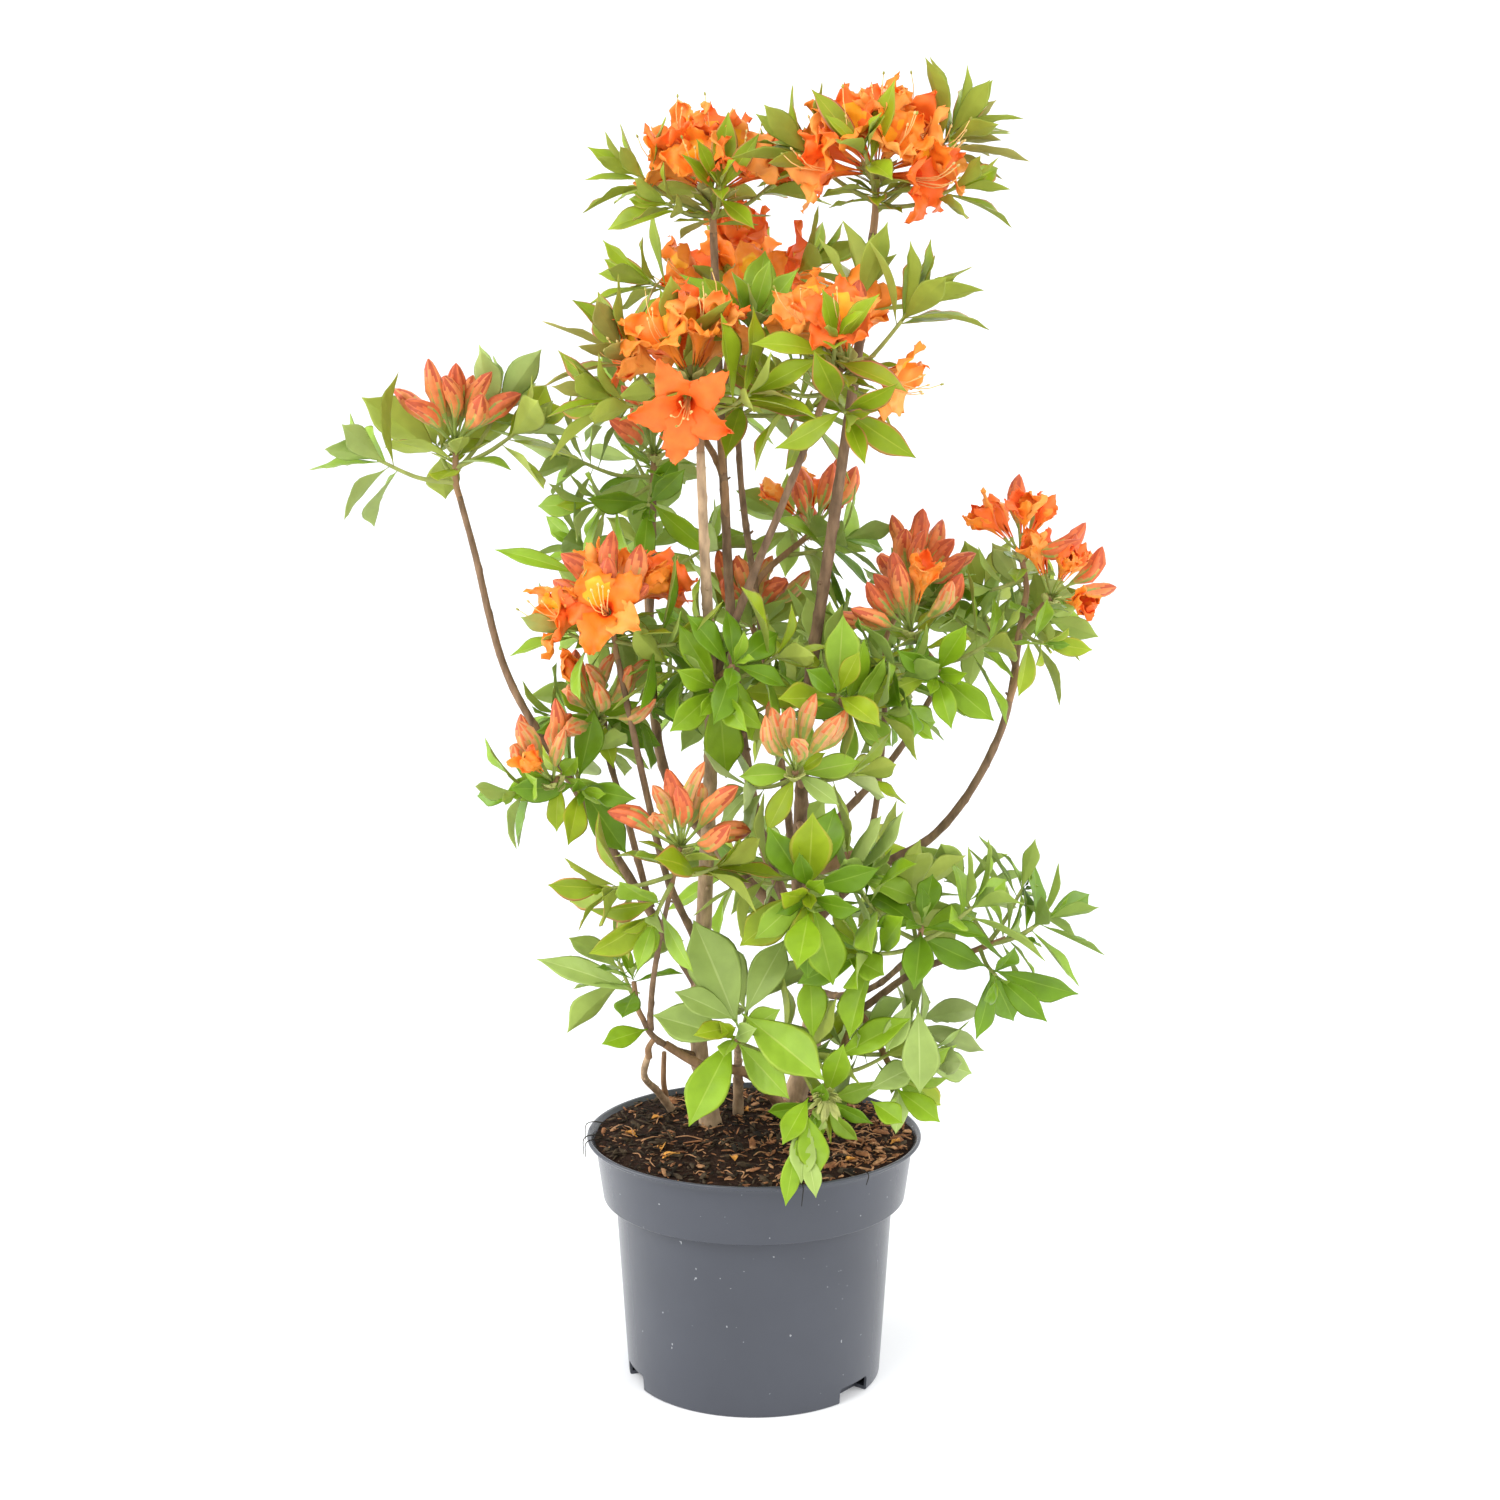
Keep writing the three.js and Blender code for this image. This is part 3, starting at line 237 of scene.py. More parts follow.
# ---- trusses ----

# Of a truss's buds: the share still young and green, the share just breaking, and how wide they spread.
COMMON_BUDS = (0.06, 0.1, 1)
TRUSS_BUDS = {"far_left": (0.06, 0, 0.85), "left_middle": (0.06, 0, 1), "left_front": (0.06, 0.4, 1),
              "left_inner": (0.8, 0.1, 1), "low_left": (0.3, 0.1, 1), "front_low": (0.7, 0.1, 1.1),
              "right_back": (0.06, 0.3, 1), "right_front": (0.06, 0.16, 1), "centre_low": (1, 0, 1),
              "far_right": (0.4, 0.5, 1.45), "far_right_side": (0.3, 0.4, 1.35)}
# Where the open flowers of a mass look, as (azimuth, elevation, how far the lobes lie open).
FACINGS = {
    "top_right": [(292, 34, 60), (345, 20, 78), (185, 28, 46), (235, 40, 42), (60, 45, 46),
                  (130, 42, 44), (326, -6, 92), (270, 76, 46), (15, 62, 52), (200, 4, 58)],
    "top_left": [(255, 30, 50), (302, 36, 46), (182, 30, 48), (0, 28, 50), (60, 48, 42), (120, 48, 42),
                 (270, 74, 40), (210, 58, 42)],
    "top_back": [(288, 0, 74), (205, 4, 62), (345, 12, 62), (90, 30, 50), (130, 10, 60), (270, 55, 50)],
    "upper_right": [(338, -22, 80), (205, 42, 52), (70, 50, 45), (262, 36, 58), (150, 35, 50)],
    "centre_front": [(264, -24, 100), (290, 62, 56), (226, 48, 58), (190, 20, 60), (60, 40, 50),
                     (120, 40, 50), (0, 74, 52)],
    "left_front": [(264, 16, 92), (198, 2, 58), (40, 30, 44)],
}
# The petal colours of a truss's flowers, one by one, and of two trusses that aren't like the rest.
COMMON_TONES = (0, 1, 0, 2, 1, 0, 2, 1)
FLOWER_TONES = {"top_back": (0, 0, 2), "left_front": (6, 0, 2)}

# ---- colours, as sRGB of 0 to 255 ----

# The face, back, rib and margin of the leaves of each tint.
LEAF_COLOURS = {
    "fresh": ((138, 174, 32), (160, 182, 84), (158, 188, 60), (146, 178, 40)),
    "grass": ((146, 180, 52), (168, 188, 104), (168, 192, 80), (156, 184, 58)),
    "young": ((156, 178, 34), (166, 180, 78), (176, 192, 62), (170, 174, 50)),
    "deep": ((110, 149, 24), (148, 173, 78), (136, 170, 50), (118, 154, 34)),
    "pale": ((160, 184, 94), (180, 196, 126), (182, 202, 118), (168, 192, 100)),
    "olive": ((140, 162, 22), (158, 172, 64), (168, 182, 50), (186, 140, 66)),
    "russet": ((150, 162, 34), (168, 164, 84), (176, 176, 58), (196, 128, 88)),
}
PETAL_COLOURS = [(255, 140, 40), (255, 158, 68), (255, 114, 36), (238, 84, 14), (254, 174, 30),
                 (250, 108, 44), (240, 124, 26)]
BUD_COLOURS = [(158, 176, 84), (208, 170, 88), (230, 118, 66), (204, 92, 54), (252, 150, 58),
               (238, 142, 80), (200, 204, 122), (222, 164, 108)]
CHIP_COLOURS = [(74, 62, 48), (40, 35, 28), (146, 100, 68), (182, 136, 98), (228, 158, 78)]

# Lamps, all turned to the part's axis: name, place, the height they are turned to, size and watts.
LAMPS = [
    ("key", (-1.3, -1.6, 2.3), 0.45, 1.6, 29),
    ("fill", (1.9, -1.2, 1.3), 0.4, 1.8, 12),
    ("back", (0.7, 1.5, 2.0), 0.6, 1.6, 16),
    ("front", (0.4, -2.3, 1.0), 0.5, 1.4, 9),
    ("left", (-1.9, -0.5, 1.0), 0.72, 0.9, 10),
    ("left_strip", (-1.3, 0.1, 0.5), 0.2, 0.8, 7),
    ("right_strip", (1.3, 0.1, 0.5), 0.2, 0.8, 5),
]

# ---- small helpers ----


def unit(v):
    return v / np.linalg.norm(v)


def mix(a, b, share):
    return a + (b - a) * share


def smooth(low, high, value):
    t = np.clip((value - low) / (high - low), 0, 1)
    return t * t * (3 - 2 * t)


def heading(azimuth, elevation):
    a, e = math.radians(azimuth), math.radians(elevation)
    return np.array([math.cos(e) * math.cos(a), math.cos(e) * math.sin(a), math.sin(e)])


def round_of(count):
    """Even turns right round, in radians."""
    return np.arange(count) * TAU / count


def spoke(side, lift, turn):
    """The direction at a turn from side towards lift."""
    return side * math.cos(turn) + lift * math.sin(turn)


def square_to(direction):
    guide = RIGHT if abs(direction @ UP) > 0.95 else UP
    side = unit(np.cross(direction, guide))
    return side, unit(np.cross(side, direction))


def relief(points, scale, seed):
    """Smooth noise between -1 and 1 at points in millimetres, with lumps of about `scale`."""
    shift = np.array([seed * 17.3, seed * 5.1, seed * 9.7])
    return np.array([mnoise.noise((p / scale + shift).tolist()) for p in points.reshape(-1, 3)])


class Line:
    """A smooth line through its points, walked by even shares of its length."""

    def __init__(self, points):
        p = np.array(points, float)
        e = np.vstack([2 * p[0] - p[1], p, 2 * p[-1] - p[-2]])
        self.cubics = []
        for x0, x1, x2, x3 in zip(e, e[1:], e[2:], e[3:]):
            d0, d1, d2 = (math.sqrt(np.linalg.norm(b - a)) for a, b in ((x0, x1), (x1, x2), (x2, x3)))
            t1 = ((x1 - x0) / d0 - (x2 - x0) / (d0 + d1) + (x2 - x1) / d1) * d1
            t2 = ((x2 - x1) / d1 - (x3 - x1) / (d1 + d2) + (x3 - x2) / d2) * d1
            self.cubics.append((x1, t1, -3 * x1 + 3 * x2 - 2 * t1 - t2, 2 * x1 - 2 * x2 + t1 + t2))
        self.table = np.linspace(0, 1, 201)
        spots = np.array([self.raw(t) for t in self.table])
        self.run = np.concatenate([[0], np.cumsum(np.linalg.norm(np.diff(spots, axis=0), axis=1))])
        self.length = self.run[-1]

    def raw(self, t):
        place = min(max(t, 0), 1) * len(self.cubics)
        i = min(int(place), len(self.cubics) - 1)
        w = place - i
        a, b, c, d = self.cubics[i]
        return a + b * w + c * w * w + d * w ** 3

    def at(self, share):
        return self.raw(np.interp(share * self.length, self.run, self.table))

    def spots(self, shares):
        return np.array([self.at(share) for share in shares])

    def tangent(self, share):
        t = np.interp(share * self.length, self.run, self.table)
        return unit(self.raw(min(t + 1e-4, 1)) - self.raw(max(t - 1e-4, 0)))


def frames_along(line, steps):
    """Places and frames at even steps along a line, each frame turned as little as it can be."""
    side, _ = square_to(line.tangent(0))
    found = []
    for share in np.linspace(0, 1, steps + 1):
        axis = line.tangent(share)
        side = unit(side - axis * (side @ axis))
        found.append((line.at(share), side, unit(np.cross(side, axis))))
    return [np.array(column) for column in zip(*found)]


def rings_round(frames, radii, corners):
    """Rings of points round a row of frames. radii has one number a ring, or one for each corner."""
    centre, side, lift = frames
    turns = round_of(corners)
    r = np.broadcast_to(np.asarray(radii, float).reshape(len(centre), -1), (len(centre), corners))
    return (centre[:, None] + side[:, None] * (r * np.cos(turns))[..., None]
            + lift[:, None] * (r * np.sin(turns))[..., None])


class Heap:
    """Closed shapes of one kind, gathered to be joined into one mesh."""

    def __init__(self):
        self.points, self.faces, self.tints, self.count = [], [], [], 0

    def loft(self, rings, tints=0):
        """Adds the closed skin over rings of an even number of points. tints is one number, or one
        for each face between two points of a ring, or one for each face between two rings. The two
        halves of a ring are split alike, so that the sides of a thin blade never cross."""
        rows, corners, _ = rings.shape
        index = np.arange(rows * corners).reshape(rows, corners)
        after = np.roll(index, -1, axis=1)
        a, b, c, d = index[:-1], after[:-1], after[1:], index[1:]
        half = (np.arange(corners) < corners // 2)[None, :, None]
        first = np.where(half, np.stack([a, b, c], -1), np.stack([a, b, d], -1))
        second = np.where(half, np.stack([a, c, d], -1), np.stack([b, c, d], -1))
        tint = np.broadcast_to(np.asarray(tints), (rows - 1, corners)).reshape(-1)
        left = np.arange(corners // 2 - 1)
        right = corners - 1 - left
        foot = np.vstack([np.stack([left, right, right - 1], -1),
                          np.stack([left, right - 1, left + 1], -1)])
        top = foot[:, ::-1] + (rows - 1) * corners
        faces = np.vstack([first.reshape(-1, 3), second.reshape(-1, 3), foot, top])
        points = rings.reshape(-1, 3)
        p, q, r = (points[faces[:, i]] - points.mean(0) for i in range(3))
        if (np.cross(p, q) * r).sum() < 0:
            faces = faces[:, ::-1]
        self.points.append(points)
        self.faces.append(faces + self.count)
        self.tints += [tint, tint, np.full(len(foot), tint[0]), np.full(len(top), tint[-1])]
        self.count += len(points)

    def tube(self, line, radii, corners, tint=0):
        """Adds a plain round shape along a line, with one radius for each of its rings."""
        self.loft(rings_round(frames_along(line, len(radii) - 1), radii, corners), tint)

    def mesh(self, name):
        points = np.concatenate(self.points) * 0.001
        faces = np.concatenate(self.faces)
        mesh = bpy.data.meshes.new(name)
        mesh.vertices.add(len(points))
        mesh.vertices.foreach_set("co", points.reshape(-1).astype(np.float32))
        mesh.loops.add(faces.size)
        mesh.loops.foreach_set("vertex_index", faces.reshape(-1).astype(np.int32))
        mesh.polygons.add(len(faces))
        mesh.polygons.foreach_set("loop_start", np.arange(0, faces.size, 3, dtype=np.int32))
        mesh.polygons.foreach_set("material_index", np.concatenate(self.tints).astype(np.int32))
        mesh.polygons.foreach_set("use_smooth", np.ones(len(faces), bool))
        mesh.update(calc_edges=True)
        mesh.validate()
        return mesh


def put(name, data):
    thing = bpy.data.objects.new(name, data)
    bpy.context.scene.collection.objects.link(thing)
    return thing


def add_piece(name, shape, materials, nodes=()):
    """A finished piece, from a heap or a mesh, that stands for these nodes of the solids."""
    mesh = shape.mesh(name) if isinstance(shape, Heap) else shape
    piece = put(name, mesh)
    for material in materials:
        mesh.materials.append(material)
    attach(piece, "root")
    if nodes:
        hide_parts(*nodes)


# ---- materials ----


def linear(colour, factor=1):
    """An sRGB colour of 0 to 255, made darker or lighter, as linear red, green, blue and alpha."""
    scaled = [c / 255 for c in colour]
    plain = [c / 12.92 if c <= 0.04045 else ((c + 0.055) / 1.055) ** 2.4 for c in scaled]
    return [min(c * factor, 1) for c in plain] + [1]


def add_node(tree, kind, **settings):
    """A shader node and its inputs, whose names are written here with _ for a space."""
    node = tree.nodes.new("ShaderNode" + kind)
    for name, value in settings.items():
        node.inputs[name.replace("_", " ")].default_value = value
    return node


def make_material(name, colour, shade=0.82, light=1.12, patch=60, roughness=0.5, grain=900, bump=0.2,
                  depth=0.0003, stretch=(1, 1, 1), specular=0.4):
    """A surface of one plain colour that drifts a little darker and lighter, with a fine grain."""
    material = bpy.data.materials.new(name)
    material.use_nodes = True
    tree = material.node_tree
    shader = tree.nodes["Principled BSDF"]
    shader.inputs["Roughness"].default_value = roughness
    shader.inputs["Specular IOR Level"].default_value = specular
    place = add_node(tree, "TexCoord")
    mapping = add_node(tree, "Mapping", Scale=stretch)
    drift = add_node(tree, "TexNoise", Scale=patch, Detail=4)
    ramp = add_node(tree, "ValToRGB")
    for end, position, factor in zip(ramp.color_ramp.elements, (0.3, 0.7), (shade, light)):
        end.position, end.color = position, linear(colour, factor)
    fine = add_node(tree, "TexNoise", Scale=grain, Detail=3)
    lift = add_node(tree, "Bump", Strength=bump, Distance=depth)
    join = tree.links.new
    join(place.outputs["Object"], mapping.inputs["Vector"])
    join(mapping.outputs["Vector"], drift.inputs["Vector"])
    join(drift.outputs["Fac"], ramp.inputs["Fac"])
    join(ramp.outputs["Color"], shader.inputs["Base Color"])
    join(mapping.outputs["Vector"], fine.inputs["Vector"])
    join(fine.outputs["Fac"], lift.inputs["Height"])
    join(lift.outputs["Normal"], shader.inputs["Normal"])
    return material


def make_set(name, colours, **look):
    """Materials that are alike but for their colour."""
    return [make_material(f"{name}_{i}", colour, **look) for i, colour in enumerate(colours)]


def add_dust(material, colour):
    """A few small pale specks on a surface."""
    tree = material.node_tree
    base = tree.nodes["Principled BSDF"].inputs["Base Color"]
    specks = add_node(tree, "TexNoise", Scale=300, Detail=1)
    pick = add_node(tree, "MapRange", From_Min=0.77, From_Max=0.8)
    blend = tree.nodes.new("ShaderNodeMix")
    blend.data_type = "RGBA"
    blend.inputs["B"].default_value = linear(colour)
    join = tree.links.new
    join(tree.nodes["Texture Coordinate"].outputs["Object"], specks.inputs["Vector"])
    join(specks.outputs["Fac"], pick.inputs["Value"])
    join(base.links[0].from_socket, blend.inputs["A"])
    join(pick.outputs["Result"], blend.inputs["Factor"])
    join(blend.outputs["Result"], base)


# ---- limbs ----

LINES = {name: Line(route) for name, _, _, _, route in LIMBS}
RADII = {name: (radii, flare) for name, _, radii, flare, _ in LIMBS}


def limb_radius(name, share):
    (foot, tip), flare = RADII[name]
    return mix(foot, tip, share) + flare * np.maximum(0, 1 - share / FLARE_LENGTH) ** 2


def bark_tube(heap, line, radius_at, seed, corners=14, step=2.6, roughness=1.0, tint=0):
    """A limb with furrows along it, swollen rings where leaves once stood, and small scars."""
    rng = np.random.default_rng(seed)
    steps = max(4, round(line.length / step))
    frames = frames_along(line, steps)
    share = np.linspace(0, 1, steps + 1)
    run = share * line.length
    radii = np.repeat(radius_at(share)[:, None], corners, axis=1)
    turns = round_of(corners)
    grid = np.stack(np.broadcast_arrays(np.cos(turns) * 3, np.sin(turns) * 3, run[:, None] / 9), axis=-1)
    furrow = relief(grid, 1.0, seed % 37 + 1).reshape(radii.shape)
    lump = relief(rings_round(frames, radii, corners), 14.0, seed % 53 + 3).reshape(radii.shape)
    swell = np.zeros_like(radii)
    at = rng.uniform(6, 18)
    while at < line.length - 4:
        face = rng.uniform(0, TAU)
        ring = np.exp(-((run - at) / 1.6) ** 2)[:, None]
        scar = np.exp(-((run - at) / 2.4) ** 2)[:, None] * np.maximum(0, np.cos(turns - face)) ** 4
        swell += 0.05 * ring + 0.22 * scar
        at += rng.uniform(9, 30)
    radii = radii * (1 + roughness * (0.07 * furrow + 0.08 * lump + swell))
    heap.loft(rings_round(frames, radii, corners), tint)


def make_limbs(stem_bark, bough_bark):
    for order, (name, parent, *_) in enumerate(LIMBS):
        line = LINES[name]
        heap = Heap()

        def radius_at(share):
            collar = COLLAR["swell"] * np.exp(-share * line.length / COLLAR["length"]) if parent else 0
            return limb_radius(name, share) * (1 + collar)

        bark_tube(heap, line, radius_at, 100 + order, corners=14 if parent else 18)
        rng = np.random.default_rng(300 + order)
        for _ in range(int(line.length / STUB["apart"])):
            share = rng.uniform(0.15, 0.95)
            axis = line.tangent(share)
            side, lift = square_to(axis)
            turn = rng.uniform(0, TAU)
            out = unit(spoke(side, lift, turn) + axis * rng.uniform(0.3, 0.9))
            root = line.at(share)
            size = limb_radius(name, share)
            length = size + rng.uniform(*STUB["stands_out"])
            stub = Line([root, root + out * length * 0.6, root + out * length])
            thin = rng.uniform(*STUB["thickness"]) * size
            bark_tube(heap, stub, lambda s, t=thin: t * (1 - 0.35 * s), 700 + order, 8, 0.9, 0.6)
        add_piece("bark_" + name, heap, [bough_bark if parent else stem_bark], [name])


# ---- leaves ----

# A leaf's rows from foot to tip, its columns right round the blade, and which of them are on top.
ROWS = np.array([0, 0.06, 0.13, 0.21, 0.3, 0.39, 0.48, 0.57, 0.66, 0.75, 0.84, 0.93, 1.0])
ACROSS = np.array([-1, -0.84, -0.44, -0.04, 0.04, 0.44, 0.84, 1, 0.84, 0.44, 0.04, -0.04, -0.44, -0.84])
TOP_SIDE = np.array([0] + [1] * 6 + [0] + [-1] * 6)
FACE, BACK, RIB, MARGIN = range(4)
LEAF_TINTS = np.array([MARGIN, FACE, FACE, RIB, FACE, FACE, MARGIN] + [BACK] * 7)
BLADE_AT = (0, 0.06, 0.12, 0.2, 0.3, 0.4, 0.5, 0.6, 0.7, 0.8, 0.88, 0.95, 1)
BLADE_WIDTH = (0.03, 0.05, 0.15, 0.4, 0.7, 0.91, 1, 0.97, 0.81, 0.55, 0.31, 0.11, 0)


def leaf_rings(hub, direction, face, length, half_width, bend, fold, wave, phase, twist):
    """A closed blade that bends back, folds up along its rib and twists, with veins and a wavy edge."""
    across = unit(np.cross(direction, face))
    face = unit(np.cross(across, direction))
    angle = bend * ROWS ** 1.4
    along = direction * np.cos(angle)[:, None] - face * np.sin(angle)[:, None]
    normal = face * np.cos(angle)[:, None] + direction * np.sin(angle)[:, None]
    steps = np.diff(ROWS, prepend=0)[:, None] * length
    centre = hub + np.cumsum(along * steps, axis=0)
    turn = twist * ROWS[:, None]
    sideways = across * np.cos(turn) + normal * np.sin(turn)
    normal = normal * np.cos(turn) - across * np.sin(turn)
    width = np.interp(ROWS, BLADE_AT, BLADE_WIDTH) * half_width
    width = np.maximum(width, np.where(ROWS < 0.5, LEAF["stalk"], LEAF["point"]))
    x = ACROSS[None] * width[:, None]
    middle = np.sin(math.pi * ROWS)[:, None]
    vein = LEAF["veins"] * (-1.0) ** np.arange(len(ROWS))[:, None] * middle * half_width / 10
    height = np.abs(x) * fold + vein * (np.abs(ACROSS) == 0.44) - 0.2 * vein * (np.abs(ACROSS) == 0.84)
    height += (wave * np.sin(2 * math.pi * 1.9 * ROWS[:, None] + phase + 1.9 * np.sign(x))
               * ACROSS ** 2 * middle)
    rib = np.where(np.abs(ACROSS) < 0.1, np.where(TOP_SIDE > 0, 0.2, 2.6), 1)
    thick = LEAF["thickness"] * 0.5 * TOP_SIDE * rib
    height = height + thick[None] * np.minimum(1, width[:, None] / 1.2)
    forward = np.abs(x) * 0.45 * middle
    return (centre[:, None] + sideways[:, None] * x[..., None] + normal[:, None] * height[..., None]
            + along[:, None] * forward[..., None])


class Crowd:
    """Places already taken, each with the room it needs round it."""

    def __init__(self):
        self.spots = np.zeros((0, 3))
        self.rooms = np.zeros(0)

    def add(self, spots, room):
        spots = spots.reshape(-1, 3)
        self.spots = np.vstack([self.spots, spots])
        self.rooms = np.concatenate([self.rooms, np.broadcast_to(room, len(spots))])

    def gap(self, spots):
        """The least room left between these places and the taken ones near them."""
        low, high = spots.min(0) - NEAR, spots.max(0) + NEAR
        near = ((self.spots > low) & (self.spots < high)).all(1)
        if not near.any():
            return FAR
        apart = np.linalg.norm(spots[:, None] - self.spots[None, near], axis=-1) - self.rooms[None, near]
        return apart.min()


crowd = Crowd()
leaf_heaps = defaultdict(Heap)


def grow_leaf(rng, hub, axis, turn, pitch, length, slim, tint):
    """One leaf, turned and tipped a little until it is clear of what has grown already."""
    side, lift = square_to(axis)
    best = None
    for more_turn, more_pitch, share in LEAF_TRIES:
        out = spoke(side, lift, turn + more_turn)
        p = pitch + more_pitch
        direction = unit(out * math.sin(p) + axis * math.cos(p))
        face = unit(axis * math.sin(p) - out * math.cos(p) + 1e-6)
        size = length * share
        rings = leaf_rings(hub + direction * 1.2, direction, face, size, size * slim / 2,
                           rng.uniform(0.0, 0.6), rng.uniform(0.12, 0.45), rng.uniform(0.3, 1.5),
                           rng.uniform(0, 6.3), rng.uniform(-0.35, 0.35))
        spots = np.concatenate([rings[3:12, 3], rings[4:10:2, 0], rings[4:10:2, 7], rings[3:11:2, 2],
                                rings[3:11:2, 5], rings[11:, 0]])
        gap = crowd.gap(spots)
        if best is None or gap > best[0]:
            best = (gap, rings, spots)
        if gap > LEAF["clear"]:
            break
    gap, rings, spots = best
    if gap < LEAF["least_gap"]:
        return
    crowd.add(spots, 1.4)
    leaf_heaps[tint].loft(rings, LEAF_TINTS)


# The tints that the leaves of a spray are dealt, and the pitch of its lowest and highest leaf.
SPRAYS = {
    "bronze": ("olive", "young", "russet", "olive", "olive"),
    "young": ("young", "olive", "grass", "young"),
    "fresh": ("fresh", "grass", "fresh", "young", "deep", "deep"),
    "pale": ("pale", "grass", "young"),
}
PITCHES = {"bronze": (60, 10), "young": (70, 14), "fresh": (84, 26), "pale": (86, 32)}


def grow_rosette(rng, foot, tip, axis, count, length, slim, tint, pitches=None):
    """Leaves in a spiral up the end of a twig: the lowest are the longest and lie the flattest."""
    start = rng.uniform(0, TAU)
    kinds = SPRAYS[tint]
    most = kinds[rng.integers(0, len(kinds))]
    low_pitch, high_pitch = pitches or PITCHES[tint]
    for i in range(count):
        share = i / max(1, count - 1)
        hub = mix(foot, tip, share ** 0.8)
        pitch = math.radians(mix(low_pitch, high_pitch, share ** 1.1) + rng.uniform(-8, 8))
        size = length * mix(1.0, 0.66, share ** 1.5) * rng.uniform(0.85, 1.12)
        own = most if rng.random() < 0.68 else kinds[rng.integers(0, len(kinds))]
        grow_leaf(rng, hub, axis, start + i * GOLDEN + rng.uniform(-0.2, 0.2), pitch, size,
                  slim * rng.uniform(0.88, 1.12), own)


def grow_lone_leaf(rng, foot, tip, width, tint):
    """A single leaf whose foot and tip are given, turned to the light."""
    foot, tip = np.array(foot, float), np.array(tip, float)
    direction = unit(tip - foot)
    face = unit(unit(np.array([0.1, -1.0, 0.75])) + 1e-3)
    face = unit(face - direction * (face @ direction))
    length = np.linalg.norm(tip - foot) * 1.03
    rings = leaf_rings(foot, direction, face, length, width / 2, rng.uniform(0.1, 0.4),
                       rng.uniform(0.1, 0.3), rng.uniform(0.3, 1.2), rng.uniform(0, 6.3),
                       rng.uniform(-0.25, 0.25))
    crowd.add(rings[[2, 4, 6, 8, 10, 12]][:, [0, 3, 7]], 2.0)
    leaf_heaps[tint].loft(rings, LEAF_TINTS)


# ---- flowers and buds ----

PETAL_ROWS = np.array([0, 0.1, 0.2, 0.29, 0.36, 0.42, 0.47, 0.52, 0.57, 0.62, 0.66, 0.7, 0.74, 0.78,
                       0.82, 0.86, 0.9, 0.94, 0.97, 1.0])
PETAL_ACROSS = np.array([-1, -0.76, -0.47, -0.16, 0.16, 0.47, 0.76, 1])
LOBE_AT = (0, 0.2, 0.34, 0.42, 0.5, 0.58, 0.66, 0.74, 0.82, 0.89, 0.95, 1)
LOBE_HALF = (0.9, 1.9, 3.7, 6.4, 9.8, 12.2, 12.8, 11.8, 9.2, 6.0, 2.9, 0.3)
THROAT, PATCH = 3, 4
petal_heap, stamen_heap, bud_heap, twig_heap = Heap(), Heap(), Heap(), Heap()


def petal_rings(centre, axis, side, lift, turn, size, opening, rng, slim=1.0, calm=1.0):
    """One lobe of a flower, from the foot of the tube to its torn and ruffled edge."""
    v, u = PETAL_ROWS[:, None], PETAL_ACROSS[None]
    fine = np.linspace(0, 1, 121)
    angle = np.radians(8 + 14 * smooth(0.2, 0.42, fine) + (opening - 22) * smooth(0.36, 0.86, fine))
    step = FLOWER["reach"] * size / 120
    radius = np.interp(v, fine, 1.2 + np.cumsum(np.sin(angle)) * step)
    rise = np.interp(v, fine, np.cumsum(np.cos(angle)) * step)
    slope = np.interp(v, fine, angle)[..., None]
    half = np.interp(v, LOBE_AT, LOBE_HALF) * size * slim
    edge = np.where(u < 0, 0, 1)
    row = np.arange(len(v))[:, None]
    torn, pulled = (rng.uniform(-1, 1, (len(v), 2))[row, edge] for _ in range(2))
    x = u * half * (1 + FLOWER["torn"] * torn * u ** 2 * smooth(0.4, 0.55, v))
    curl = np.clip(x / np.maximum(radius, 4), -1.3, 1.3) * (1 - 0.7 * smooth(0.36, 0.75, v))
    sideways = mix(radius * np.sin(curl), x, smooth(0.36, 0.62, v))
    out = spoke(side, lift, turn)
    across = np.cross(axis, out)
    outer = out * np.cos(slope) - axis * np.sin(slope)
    ahead = out * np.sin(slope) + axis * np.cos(slope)
    sheet = (centre + out * (radius * np.cos(curl))[..., None] + across * sideways[..., None]
             + axis * (rise + 0 * u)[..., None])
    reach = smooth(0.42, 0.74, v)
    waves = np.sin(TAU * rng.uniform(3.0, 4.6) * v + rng.uniform(0, 6.3) + rng.uniform(0.5, 3) * np.sign(u))
    ruffle = FLOWER["ruffle"] * calm * size * reach * np.abs(u) ** 1.4 * waves
    crumple = relief(sheet, 8.0, int(rng.integers(1, 90))).reshape(sheet.shape[:2])
    crumple = crumple * FLOWER["crumple"] * calm * reach
    crease = -1.3 * np.exp(-(u / 0.3) ** 2) * smooth(0.3, 0.6, v) * (1 - smooth(0.86, 1, v))
    cup = rng.uniform(-2.5, 5.5) * u ** 2 * reach + rng.uniform(-7, 5) * smooth(0.7, 1, v)
    sheet = sheet - outer * (ruffle + crumple + crease + cup)[..., None]
    sheet = sheet + ahead * (1.7 * size * pulled * np.abs(u) ** 3 * smooth(0.5, 0.7, v))[..., None]
    along, beside = np.gradient(sheet, axis=0), np.gradient(sheet, axis=1)
    normal = np.cross(beside, along)
    normal /= np.maximum(np.linalg.norm(normal, axis=-1, keepdims=True), 1e-6)
    skin = normal * FLOWER["half_thickness"]
    return np.concatenate([sheet - skin, (sheet + skin)[:, ::-1]], axis=1), sheet


